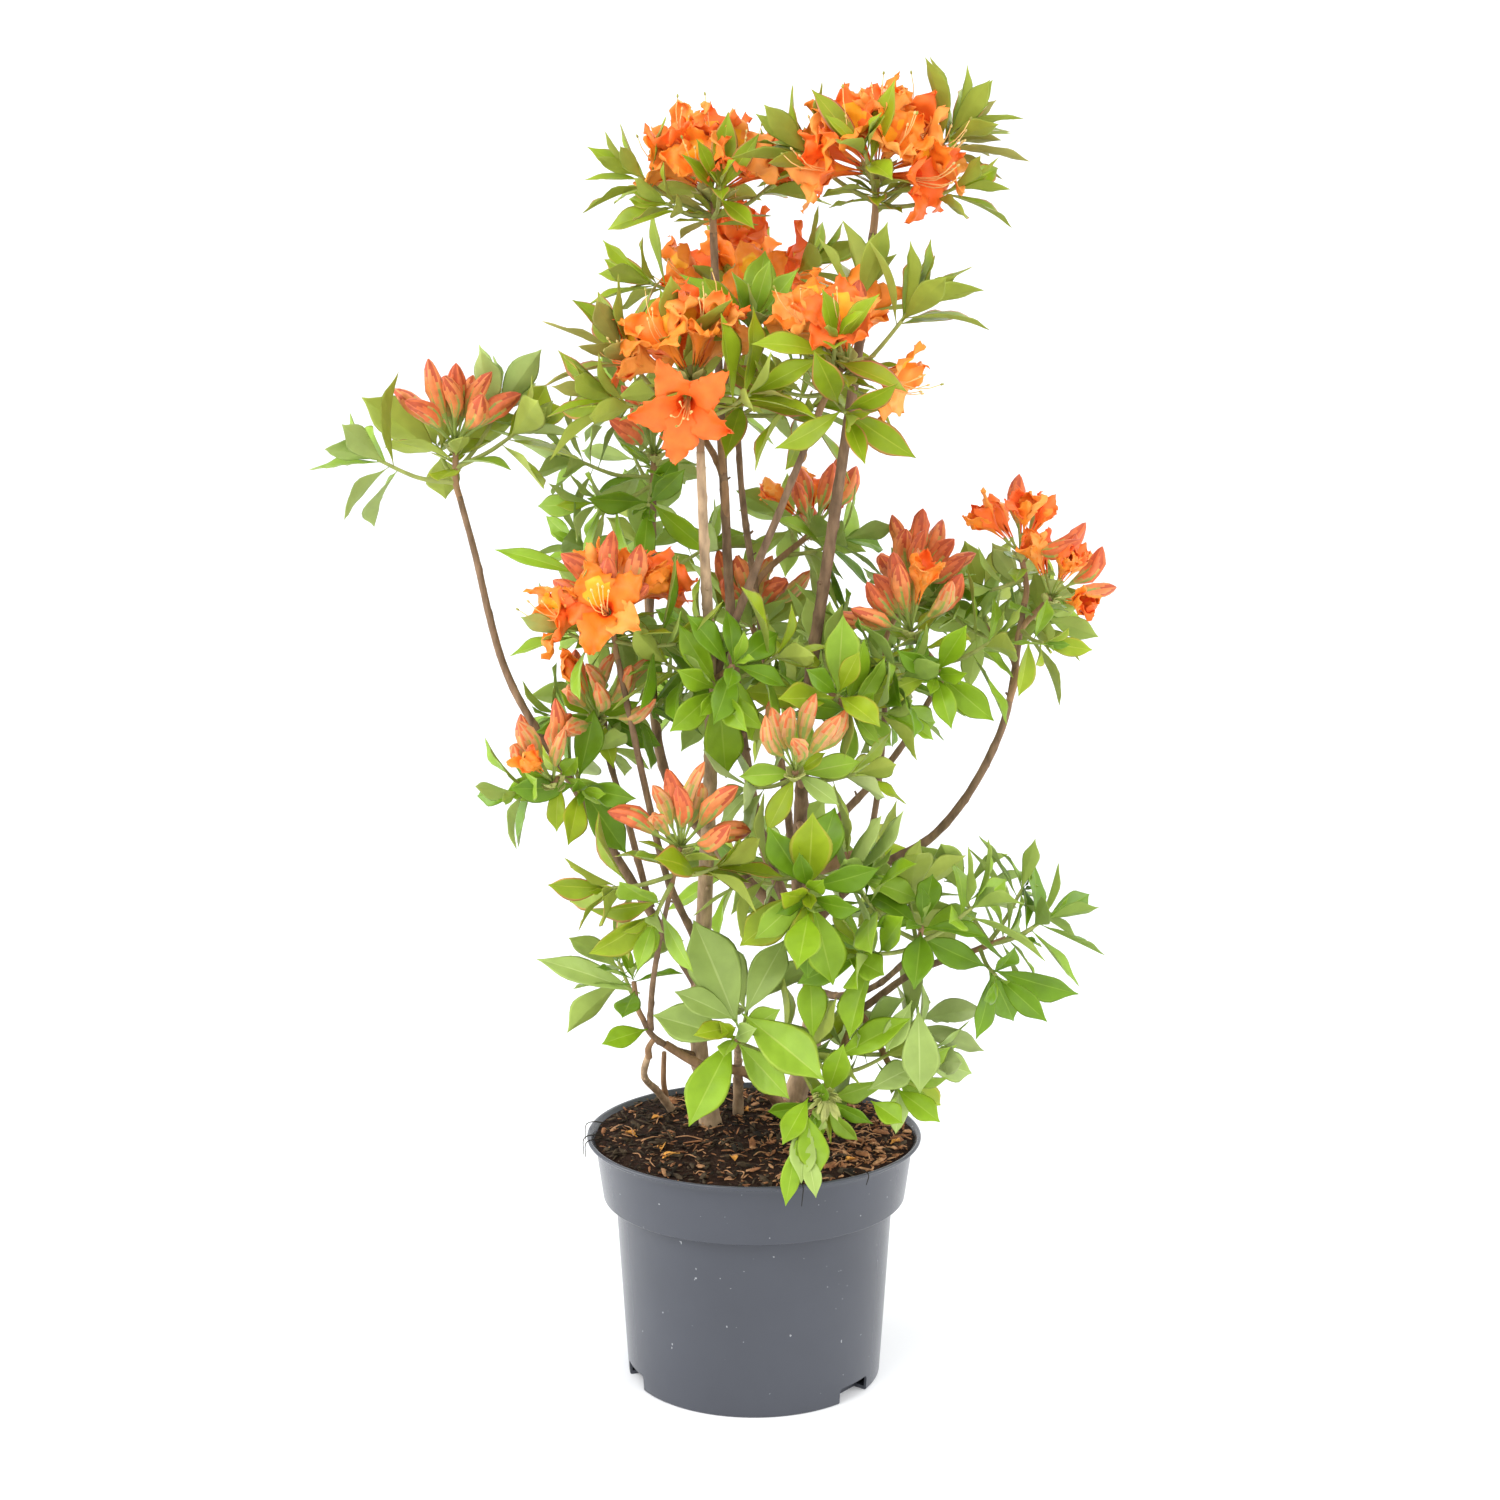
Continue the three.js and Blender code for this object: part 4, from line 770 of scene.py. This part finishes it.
def petal_tints(patched, tone):
    """Tints of a lobe's faces: a glowing throat, a yellow patch if it has one, and its own tone."""
    v = (PETAL_ROWS[:-1] + PETAL_ROWS[1:])[:, None] / 2
    columns = len(PETAL_ACROSS)
    u = np.full(2 * columns, 2.0)
    u[:columns - 1] = np.abs(PETAL_ACROSS[:-1] + PETAL_ACROSS[1:]) / 2
    tints = np.full((len(v), 2 * columns), tone)
    tints[(v < 0.4) & (u[None] < 1.5)] = THROAT
    if patched:
        tints[(v > 0.36) & (v < 0.78) & (u[None] < 0.7 - 0.6 * np.abs(v - 0.52))] = PATCH
    return tints


def grow_stalk(rng, foot, centre, axis, sway):
    """The thin stalk of a flower."""
    line = Line([foot, mix(foot, centre, 0.5) + rng.uniform(-sway, sway, 3), centre + axis])
    bud_heap.tube(line, (0.9, 0.85, 0.9, 1.1, 1.5), 8)


def grow_flower(rng, foot, axis, size, opening, tone):
    """An open flower on its stalk: five lobes, and stamens that curve up and out past them."""
    centre = foot + axis * rng.uniform(5, 9) * size
    grow_stalk(rng, foot, centre, axis, 0.6)
    side, lift = square_to(axis)
    turns = rng.uniform(-0.3, 0.3) + round_of(5)
    highest = int(np.argmax([spoke(side, lift, t) @ UP for t in turns]))
    star = opening > FLOWER["star"]
    grown, sway, slim, calm = (1.2, 0.4, 0.76, 0.45) if star else (1, 1, 1.0, 1.0)
    for i, turn in enumerate(turns):
        own = tone if rng.random() < 0.7 else int(rng.integers(0, 3))
        rings, sheet = petal_rings(centre, axis, side, lift, turn, size * rng.uniform(0.9, 1.07) * grown,
                                   opening + rng.uniform(-14, 14) * sway, rng, slim, calm)
        petal_heap.loft(rings, petal_tints(i == highest and not star, 2 if star else own))
        crowd.add(sheet[[6, 10, 14, 18]][:, [1, 3, 6]], 1.2)
    rise = unit(UP - axis * (UP @ axis) + 1e-3)
    for i in range(6 if opening > 65 else 3):
        out = spoke(side, lift, rng.uniform(0, TAU))
        reach = (rng.uniform(40, 50) if i else 56) * size
        points = [centre + axis * 6, centre + axis * reach * 0.5 + out * 2 - rise * 2,
                  centre + axis * reach * 0.82 + out * 4 - rise * 1.5,
                  centre + axis * reach + out * 6 + rise * 4]
        stamen_heap.tube(Line(points), np.linspace(0.5, 0.32, 8), 4)
        tip, way = points[-1], unit(points[-1] - points[-2])
        head = Line([tip - way * 0.4, tip + way * 0.9, tip + way * 2.2])
        stamen_heap.tube(head, [0.3, 0.75, 0.85, 0.7, 0.25], 6, 1 if i else 2)


def grow_half_open(rng, foot, axis, size):
    """A flower just breaking: its lobes still folded over each other into a crumpled cup."""
    centre = foot + axis * rng.uniform(10, 17)
    grow_stalk(rng, foot, centre, axis, 0.8)
    side, lift = square_to(axis)
    start = rng.uniform(0, 1.2)
    shut = rng.uniform(-34, 8)
    for i in range(5):
        rings, sheet = petal_rings(centre, axis, side, lift, start + i * TAU / 5,
                                   size * rng.uniform(0.88, 1.1), shut + rng.uniform(-16, 24), rng,
                                   0.92, 0.62)
        petal_heap.loft(rings, petal_tints(False, (0, 1, 2, 5, 0)[int(rng.integers(0, 5))]))
    crowd.add(sheet[[6, 12, 18]][:, [1, 6]], 3.0)


BUD_AT = np.array([0, 0.14, 0.27, 0.31, 0.35, 0.41, 0.48, 0.56, 0.64, 0.72, 0.8, 0.88, 0.95, 1])
CLOSED = np.array([0.17, 0.16, 0.18, 0.3, 0.38, 0.6, 0.82, 0.96, 1, 0.98, 0.89, 0.7, 0.4, 0.08])
# Tints of a bud's faces, row by row from its foot, for the four faces of each of its five pleats.
OWN, BRACT, YOUNG_TONE = -1, 6, 7
FOOT_TINTS = [[0, 0, 0, 0]] * 4 + [[1, 0, 1, 1]]
BUD_TINTS = FOOT_TINTS + [[OWN, 0, 1, 1], [OWN, 0, 1, OWN], [OWN, 0, OWN, OWN], [OWN, 1, OWN, OWN],
                          [OWN, 3, OWN, OWN], [OWN, 3, 3, OWN]] + [[OWN, 3, 3, 3]] * 2
YOUNG_TINTS = FOOT_TINTS + [[1, 0, 0, 1]] * 2 + [[7, 0, 1, 7]] * 2 + [[7, 1, 7, 2]] * 2 + [[7, 2, 2, 5]] * 2


def grow_bud(rng, foot, axis, length, radius, tone, young):
    """A pleated bud on its stalk, closing to a point that leans over."""
    side, lift = square_to(axis)
    lean = spoke(side, lift, rng.uniform(0, TAU)) * rng.uniform(1.5, 6.5)
    bow = unit(UP + axis) * length * 0.06
    stalk = length * rng.uniform(0.28, 0.42)
    line = Line([foot, foot + axis * stalk - bow * 0.4, foot + axis * (stalk + length * 0.36) - lean * 0.35,
                 foot + axis * (length * 1.05) + lean + bow])
    centres = line.spots(BUD_AT)
    axes = np.array([line.tangent(s) for s in BUD_AT])
    sides = np.array([unit(side - a * (side @ a)) for a in axes])
    frames = centres, sides, np.cross(sides, axes)
    corners = 20
    folds = smooth(0.36, 0.6, BUD_AT)[:, None]
    pleat = 0.17 * np.cos(5 * round_of(corners) + rng.uniform(0, 0.8) * BUD_AT[:, None]) * folds
    radii = radius * CLOSED[:, None] * (1 + pleat)
    rough = relief(rings_round(frames, radii, corners), 6.0, int(rng.integers(1, 90))).reshape(radii.shape)
    radii = radii * (1 + 0.24 * rough * folds)
    tints = np.tile(YOUNG_TINTS if young else BUD_TINTS, 5)
    tints[tints == OWN] = tone
    bud_heap.loft(rings_round(frames, radii, corners), tints)
    crowd.add(centres[[5, 8, 11]], radius * 0.9)


def grow_bracts(rng, centre, axis, count, size, slim=0.36):
    """Papery scales round the foot of a truss."""
    side, lift = square_to(axis)
    for i in range(count):
        out = spoke(side, lift, i * GOLDEN + rng.uniform(-0.3, 0.3))
        pitch = math.radians(rng.uniform(35, 80))
        direction = unit(out * math.sin(pitch) + axis * math.cos(pitch))
        face = unit(axis * math.sin(pitch) - out * math.cos(pitch))
        length = size * rng.uniform(0.8, 1.3)
        rings = leaf_rings(centre + out * 1.5 - axis * rng.uniform(0, 5), direction, face, length,
                           length * slim, -0.5, 0.35, 0.3, 1.0, 0.0)
        bud_heap.loft(rings, BRACT)


def grow_truss(rng, name, top, top_axis, buds):
    """Flowers and buds that spring from the top of a stem, each row of buds leaning out further."""
    main = unit(mix(top_axis, UP, 0.6))
    side, lift = square_to(main)
    tones = FLOWER_TONES.get(name, COMMON_TONES)
    green, breaking, spread = TRUSS_BUDS.get(name, COMMON_BUDS)
    for i, (azimuth, elevation, opening) in enumerate(FACINGS.get(name, [])):
        axis = heading(azimuth, elevation)
        grow_flower(rng, top + axis * 2.5, axis, rng.uniform(0.92, 1.04), opening, tones[i % len(tones)])
    for i in range(buds):
        if i == 0:
            lean, turn = rng.uniform(0, 0.2), rng.uniform(0, 6.3)
        elif i <= 5:
            lean = math.radians(BUD["lean"] + rng.uniform(-6, 6))
            turn = (i + 0.5) * TAU / 5 + rng.uniform(-0.15, 0.15)
        else:
            lean = math.radians(BUD["lean"] + BUD["outer_lean"] + rng.uniform(-9, 9))
            turn = i * TAU / 5 + rng.uniform(-0.2, 0.2)
        lean *= spread
        axis = unit(spoke(side, lift, turn) * math.sin(lean) + main * math.cos(lean))
        if rng.random() < breaking:
            grow_half_open(rng, top + axis * 2.5, axis, rng.uniform(0.56, 0.68))
            continue
        young = rng.random() < green
        tone = YOUNG_TONE if young else (2 if rng.random() < 0.68 else 5)
        grow_bud(rng, top + axis * 2.5, axis, BUD["length"] * rng.uniform(0.84, 1.12),
                 BUD["radius"] * rng.uniform(0.84, 1.12) * (0.84 if young else 1), tone, young)
    if name in FACINGS:
        grow_bracts(rng, top - main * 2, main, 16, 15, 0.3)
    else:
        grow_bracts(rng, top - main * 3, main, 9, 9)


# ---- growing the plant: what grows first keeps its place ----


def grow_stem(order, mass):
    """The stem of a mass, from its limb to its heart."""
    line = LINES[mass.limb]
    spring, set_off = line.at(mass.share), line.tangent(mass.share)
    heart = np.array(mass.heart, float)
    stem = Line([spring - set_off * STEM["sunk"], spring + set_off * np.linalg.norm(heart - spring) * 0.25,
                 heart])
    most = limb_radius(mass.limb, mass.share)

    def radius_at(share):
        return np.minimum(mix(STEM["root"], STEM["tip"], share), most * mix(1.0, 0.9, share))

    bark_tube(twig_heap, stem, radius_at, 1000 + order, 12, 2.6, 0.7)
    crowd.add(stem.spots(np.linspace(0, 1, 8)), 1.5)
    return stem


def grow_mass(order, mass, stem):
    """The leaves round the heart of a mass, and its leafy shoots."""
    rng = np.random.default_rng(1000 + order * 17)
    top, axis = stem.at(1), stem.tangent(1)
    length, slim, tint = LEAF["length"] * mass.size, mass.slim, mass.tint
    hub = top - axis * (LEAF["below_truss"] if mass in blooming else 0)
    grow_rosette(rng, hub - axis * 6, hub + axis * 2, axis, mass.whorl, length * 0.86, slim, tint, (88, 62))
    if mass.name in FACINGS:
        grow_rosette(rng, hub - axis * 9, hub - axis, axis, 9, length * 0.56, slim * 1.1, tint, (86, 50))
    if mass not in blooming:
        grow_rosette(rng, hub, hub + axis * 3, axis, 3, length * 0.5, slim, tint, (40, 12))
    for azimuth, elevation, reach, leaves in mass.shoots:
        start = top - axis * min(stem.length, TWIG["lowest"]) * rng.uniform(0.4, 0.7)
        direction = heading(azimuth + rng.uniform(-4, 4), elevation)
        end = start + direction * reach + UP * reach * TWIG["rise"]
        sag = UP * -reach * TWIG["sag"]
        twig = Line([start, mix(start, end, 0.5) + sag + rng.uniform(-1.5, 1.5, 3), end])
        bark_tube(twig_heap, twig, lambda s: mix(TWIG["root"], TWIG["tip"], s), 2000 + order, 8,
                  2.6, 0.7, 1)
        crowd.add(twig.spots(np.linspace(0.2, 0.8, 5)), 0.6)
        tip_axis = twig.tangent(1)
        grow_rosette(rng, twig.at(1 - 15 / twig.length), end, tip_axis, leaves + 1, length, slim, tint)
        grow_rosette(rng, end - tip_axis, end + tip_axis, tip_axis, 2, length * 0.42, slim, tint, (24, 8))


for name, line in LINES.items():
    shares = np.linspace(0, 1, int(line.length / 5))
    crowd.add(line.spots(shares), limb_radius(name, shares) + 0.5)
stems = [grow_stem(order, mass) for order, mass in enumerate(MASSES)]
blooming = [mass for mass in MASSES if mass.name in FACINGS or mass.buds]
for order, (mass, stem) in enumerate(zip(MASSES, stems)):
    if mass in blooming:
        grow_truss(np.random.default_rng(5000 + order), mass.name, stem.at(1), stem.tangent(1), mass.buds)
for (foot, tip), route in LINKS:
    bark_tube(twig_heap, Line(route), lambda s: mix(foot, tip, s), 3000 + len(route), 12, 2.6, 0.9)
lone_rng = np.random.default_rng(41)
for _ in range(3):
    grow_bracts(lone_rng, np.array(REMNANT), heading(280, -20), 9, 13, 0.13)
for lone_leaf in LONE_LEAVES:
    grow_lone_leaf(lone_rng, *lone_leaf)
for order, (mass, stem) in enumerate(zip(MASSES, stems)):
    grow_mass(order, mass, stem)

flower_nodes = [m.name + "_bloom" for m in blooming if m.name in FACINGS]
bud_nodes = [m.name + "_bloom" for m in blooming if m.name not in FACINGS]
leaf_nodes = [m.name + "_leaves" for m in MASSES if m not in blooming]

for tint, heap in leaf_heaps.items():
    tones = [make_material(f"leaf_{tint}_{part}", colour, shade=0.78, light=1.02, patch=55, roughness=rough,
                           grain=700, bump=0.2, specular=0.28)
             for part, colour, rough in zip(("face", "back", "rib", "margin"), LEAF_COLOURS[tint],
                                            (0.4, 0.6, 0.5, 0.45))]
    add_piece(f"leaves_{tint}", heap, tones, leaf_nodes if tint == "fresh" else ())
add_piece("petals", petal_heap, make_set("petal", PETAL_COLOURS, shade=0.88, light=1.14, patch=120,
                                         roughness=0.5, grain=1400, bump=0.25), flower_nodes)
add_piece("stamens", stamen_heap, [make_material("filament", (250, 200, 124), patch=200),
                                   make_material("anther", (220, 196, 124)),
                                   make_material("stigma", (160, 160, 66))])
add_piece("bud_clusters", bud_heap, make_set("bud", BUD_COLOURS, shade=0.74, light=1.02, patch=160,
                                             roughness=0.55, grain=1600, bump=0.35), bud_nodes)

BARK = dict(patch=180, grain=700, bump=0.7, depth=0.0008, roughness=0.8, specular=0.2, stretch=(1, 1, 0.35))
make_limbs(make_material("bark_wood", (186, 158, 126), shade=0.5, light=1.15, **BARK),
           make_material("young_bark", (136, 110, 86), shade=0.5, light=1.2, **BARK))
add_piece("twigs", twig_heap, [make_material("twig_wood", (158, 124, 92), shade=0.7, light=1.2, **BARK),
                               make_material("twig_green", (156, 164, 92), shade=0.8, light=1.15, **BARK)])

# ---- pot ----


def arc(centre, radius, start, end, steps):
    return [(centre[0] + radius * math.cos(a), centre[1] + radius * math.sin(a))
            for a in map(math.radians, np.linspace(start, end, steps))]


def between(a, b, steps):
    """Points between two corners, without the corners."""
    return [(mix(a[0], b[0], s), mix(a[1], b[1], s)) for s in np.linspace(0, 1, steps + 2)[1:-1]]


def turned(outline, segments):
    """The skin of a turned solid, from its half outline of radii and heights."""
    radii, heights = np.array(outline).T[..., None]
    turns = round_of(segments)
    heap = Heap()
    heap.loft(np.stack([radii * np.cos(turns), radii * np.sin(turns), heights + 0 * turns], axis=-1))
    return heap


def pot_wall(inset):
    """The corners of the tapering body and the band, from the foot up."""
    band_foot = POT["height"] - POT["band_height"]
    lip_foot = POT["height"] - POT["lip_height"]
    low = POT["floor"] if inset else 1.5
    return [(POT["foot"] - inset, low), (POT["body_top"] - inset, band_foot - 2 + inset / 2),
            (POT["band_bottom"] - inset, band_foot + inset / 2), (POT["band_top"] - inset, lip_foot - 2)]


def pot_outline():
    foot, shoulder, ledge, brow = pot_wall(0)
    inner = pot_wall(POT["wall"])
    top = POT["height"]
    lip_foot = top - POT["lip_height"]
    outline = [(2, 0), (POT["foot"] - 12, 0), (POT["foot"] - 2.2, 0)]
    outline += arc((POT["foot"] - 1.6, 1.6), 1.6, -80, 0, 5)
    outline += between(foot, shoulder, 14) + [(shoulder[0], shoulder[1] - 0.8)]
    outline += arc((shoulder[0] + 1.6, shoulder[1]), 1.5, 180, 100, 4)
    outline += [(ledge[0] - 2, ledge[1] - 0.6)] + arc((ledge[0] - 1.2, ledge[1] + 0.8), 1.3, -80, 0, 5)
    outline += between(ledge, brow, 6)
    outline += [brow, (brow[0] + 0.7, lip_foot + 0.4), (brow[0] + 2.4, lip_foot + 2)]
    outline += arc((POT["lip"] - 1.5, lip_foot + 3.5), 1.45, -70, 110, 12)
    outline += [(POT["lip"] - 2.8, top - 0.7), (POT["lip"] - 4.2, top - 2.4)]
    outline += [(inner[3][0] + 0.3, top - 5.5)]
    outline += between(inner[3], inner[2], 3) + [inner[2], inner[1]]
    return outline + between(inner[1], inner[0], 4) + [inner[0], (2, POT["floor"])]


def notch(angle):
    """What is cut out of the pot's foot for one drain notch."""
    w, h, c = DRAIN["width"] / 2, DRAIN["height"], DRAIN["corner"]
    section = [(-w, -6), (w, -6), (w, h - c), (w - c * 0.3, h - c * 0.3), (w - c, h), (-w + c, h),
               (-w + c * 0.3, h - c * 0.3), (-w, h - c)]
    out = heading(angle, 0)
    across = np.cross(UP, out)
    heap = Heap()
    heap.loft(np.array([[out * r + across * x + UP * z for x, z in section]
                        for r in (DRAIN["inner"], DRAIN["outer"])]))
    return heap


def make_pot():
    pot = put("pot_draft", turned(pot_outline(), 192).mesh("pot_draft"))
    cutters = [put("notch", notch(angle).mesh("notch")) for angle in DRAIN["angles"]]
    for cutter in cutters:
        step = pot.modifiers.new("cut", "BOOLEAN")
        step.operation, step.solver, step.object = "DIFFERENCE", "EXACT", cutter
    bpy.context.view_layer.update()
    graph = bpy.context.evaluated_depsgraph_get()
    mesh = bpy.data.meshes.new_from_object(pot.evaluated_get(graph))
    mesh.name = "pot_shell"
    for old in (pot, *cutters):
        bpy.data.objects.remove(old)
    mesh.materials.clear()
    mesh.polygons.foreach_set("use_smooth", np.ones(len(mesh.polygons), bool))
    mesh.set_sharp_from_angle(angle=math.radians(38))
    plastic = make_material("pot_plastic", (68, 71, 79), shade=0.92, light=1.05, patch=14, roughness=0.27,
                            grain=2400, bump=0.06, depth=0.0002, specular=0.45)
    add_dust(plastic, (150, 152, 156))
    add_piece("pot_shell", mesh, [plastic], ["pot"])


# ---- compost ----


def compost_height(radius):
    return np.interp(radius, [0, 40, 84, 107, 110], [172, 171.5, 170.5, 168, 167.4])


def make_bed():
    radii = np.linspace(2, 110, 46)[:, None]
    turns = round_of(120)
    x, y = radii * np.cos(turns), radii * np.sin(turns)
    flat = np.stack([x, y, 0 * x], axis=-1)
    bumps = 0.9 * relief(flat, 9, 2) + 0.5 * relief(flat, 4, 5) + 1.0 * relief(flat, 30, 7)
    top = np.stack([x, y, compost_height(radii) - 0.8 + bumps.reshape(x.shape)], axis=-1)
    edge, under = top[-1:] * (0.94, 0.94, 0), top[:1] * (1, 1, 0)
    bed = Heap()
    bed.loft(np.concatenate([top, edge + UP * 157, under + UP * 157]))
    soil = make_material("soil", (52, 36, 28), shade=0.5, light=1.5, patch=260, grain=900, bump=1.0,
                         depth=0.002, roughness=0.95, specular=0.1)
    add_piece("compost_bed", bed, [soil], ["compost"])


def add_chips(heap, rng):
    """Flat bits of bark and peat, redder to the right."""
    for _ in range(CHIPS["count"]):
        r = 109 * math.sqrt(rng.uniform(0, 1))
        a = rng.uniform(0, TAU)
        length = rng.choice([3, 4.5, 6.5, 11], p=[0.36, 0.36, 0.2, 0.08]) * rng.uniform(0.7, 1.3)
        r = min(r, 109.5 - length * 0.5)
        centre = np.array([r * math.cos(a), r * math.sin(a), 0])
        centre[2] = compost_height(r) + rng.uniform(-0.8, 1.4)
        way = unit(heading(rng.uniform(0, 360), rng.normal(0, 16)))
        side, lift = square_to(way)
        tilt = rng.normal(0, 0.4)
        side, lift = spoke(side, lift, tilt), spoke(lift, -side, tilt)
        wide = length * rng.uniform(0.08, 0.26)
        thick = wide * rng.uniform(0.2, 0.5)
        rows = []
        for s, k in zip((-0.5, -0.3, 0.25, 0.5), (0.3, 1, 0.9, 0.25)):
            turns = np.arange(6) * math.pi / 3 + 0.3
            uneven = rng.uniform(0.75, 1.15, 6) * k
            bow = lift * (0.25 - s * s) * length * rng.uniform(0.0, 0.25)
            rows.append(centre + way * s * length + bow + side * (wide * uneven * np.cos(turns))[:, None]
                        + lift * (thick * uneven * np.sin(turns))[:, None])
        reddish = centre[0] > rng.normal(12, 22)
        tone = rng.choice(4, p=[0.14, 0.06, 0.44, 0.36] if reddish else [0.5, 0.28, 0.15, 0.07])
        heap.loft(np.array(rows), tone)


def add_fibres(heap, rng):
    """Fibres that hang over the rim, and short ones on the compost."""
    for turn, reach in CHIPS["over_rim"]:
        out, along = heading(turn, 0), heading(turn + 90, 0)
        drop = rng.uniform(6, 13)
        fibre = Line([out * 104 * reach + UP * 170.5, out * 112.5 + along * 2 + UP * 172.3,
                      out * 117.3 + along * 3 + UP * 170.5,
                      out * 117.6 + along * rng.uniform(0, 5) + UP * (170 - drop)])
        heap.tube(fibre, np.linspace(0.5, 0.25, 13), 6, 1)
    for _ in range(CHIPS["fibres"]):
        a, r = rng.uniform(0, TAU), 98 * math.sqrt(rng.uniform(0, 1))
        start = np.array([r * math.cos(a), r * math.sin(a), compost_height(r) + 0.8])
        way = heading(rng.uniform(0, 360), rng.uniform(-4, 8))
        length, bend = rng.uniform(7, 20), np.cross(way, UP) * rng.uniform(-4, 4)
        if np.linalg.norm((start + way * length)[:2]) > 104:
            continue
        middle = start + way * length * 0.5 + bend + UP * rng.uniform(0.5, 2.5)
        heap.tube(Line([start, middle, start + way * length]), np.linspace(0.5, 0.25, 7), 6,
                  int(rng.choice([1, 3])))


def add_scales(heap, rng):
    """Pale fallen bud scales."""
    for x, y in CHIPS["scales"]:
        centre = np.array([x, y, compost_height(math.hypot(x, y)) + 1.6])
        way = heading(rng.uniform(0, 360), rng.uniform(-10, 20))
        face = unit(UP + rng.uniform(-0.35, 0.35, 3))
        length = rng.uniform(9, 14)
        heap.loft(leaf_rings(centre - way * length / 2, way, face, length, length * 0.24,
                             0.5, 0.7, 0.2, 0.0, 0.2), 4)


make_pot()
make_bed()
chips, chip_rng = Heap(), np.random.default_rng(77)
for add in (add_chips, add_fibres, add_scales):
    add(chips, chip_rng)
add_piece("compost_chips", chips, make_set("chip", CHIP_COLOURS, shade=0.6, light=1.4, patch=300, grain=900,
                                           bump=0.8, depth=0.001, roughness=0.9, specular=0.15))

# ---- stage, light and camera ----


def make_stage():
    """A sheet of white paper that curves up behind the plant."""
    rows = []
    for y, z in [(-3000, 0), (1400, 0)] + arc((1400, 900), 900, -90, 0, 14)[1:] + [(2300, 3600)]:
        back = y + (z > 0) * 6
        rows.append([(-4000, y, z), (4000, y, z), (4000, back, z - 6), (-4000, back, z - 6)])
    heap = Heap()
    heap.loft(np.array(rows, float))
    floor = put("floor", heap.mesh("floor"))
    paper = make_material("floor_paper", (244, 245, 247), shade=0.995, light=1.005, patch=2, roughness=0.7,
                          grain=400, bump=0.02, depth=0.0001, specular=0.15)
    floor.data.materials.append(paper)


def add_lamp(name, place, target_height, size, power):
    lamp = bpy.data.lights.new(name, "AREA")
    lamp.shape, lamp.size, lamp.energy = "DISK", size, power
    holder = put(name, lamp)
    way = unit(np.array(place) - UP * target_height)
    holder.location = place
    holder.rotation_euler = (math.acos(way[2]), 0, math.atan2(way[1], way[0]) + math.pi / 2)


make_stage()
for lamp in LAMPS:
    add_lamp(*lamp)
world = bpy.data.worlds.new("studio")
world.use_nodes = True
backdrop = world.node_tree.nodes["Background"]
backdrop.inputs["Color"].default_value = (1.0, 1.0, 1.0, 1)
backdrop.inputs["Strength"].default_value = 0.95
bpy.context.scene.world = world

view = bpy.context.scene.view_settings
view.view_transform = "Standard"
view.look = "None"

camera = bpy.data.cameras.new("camera")
camera.lens = 58.31
camera.sensor_width = 36
camera.clip_end = 50
eye = put("camera", camera)
eye.location = (-0.0028, -1.6103, 0.7001)
eye.rotation_euler = (math.radians(80.692), 0, 0)
bpy.context.scene.camera = eye
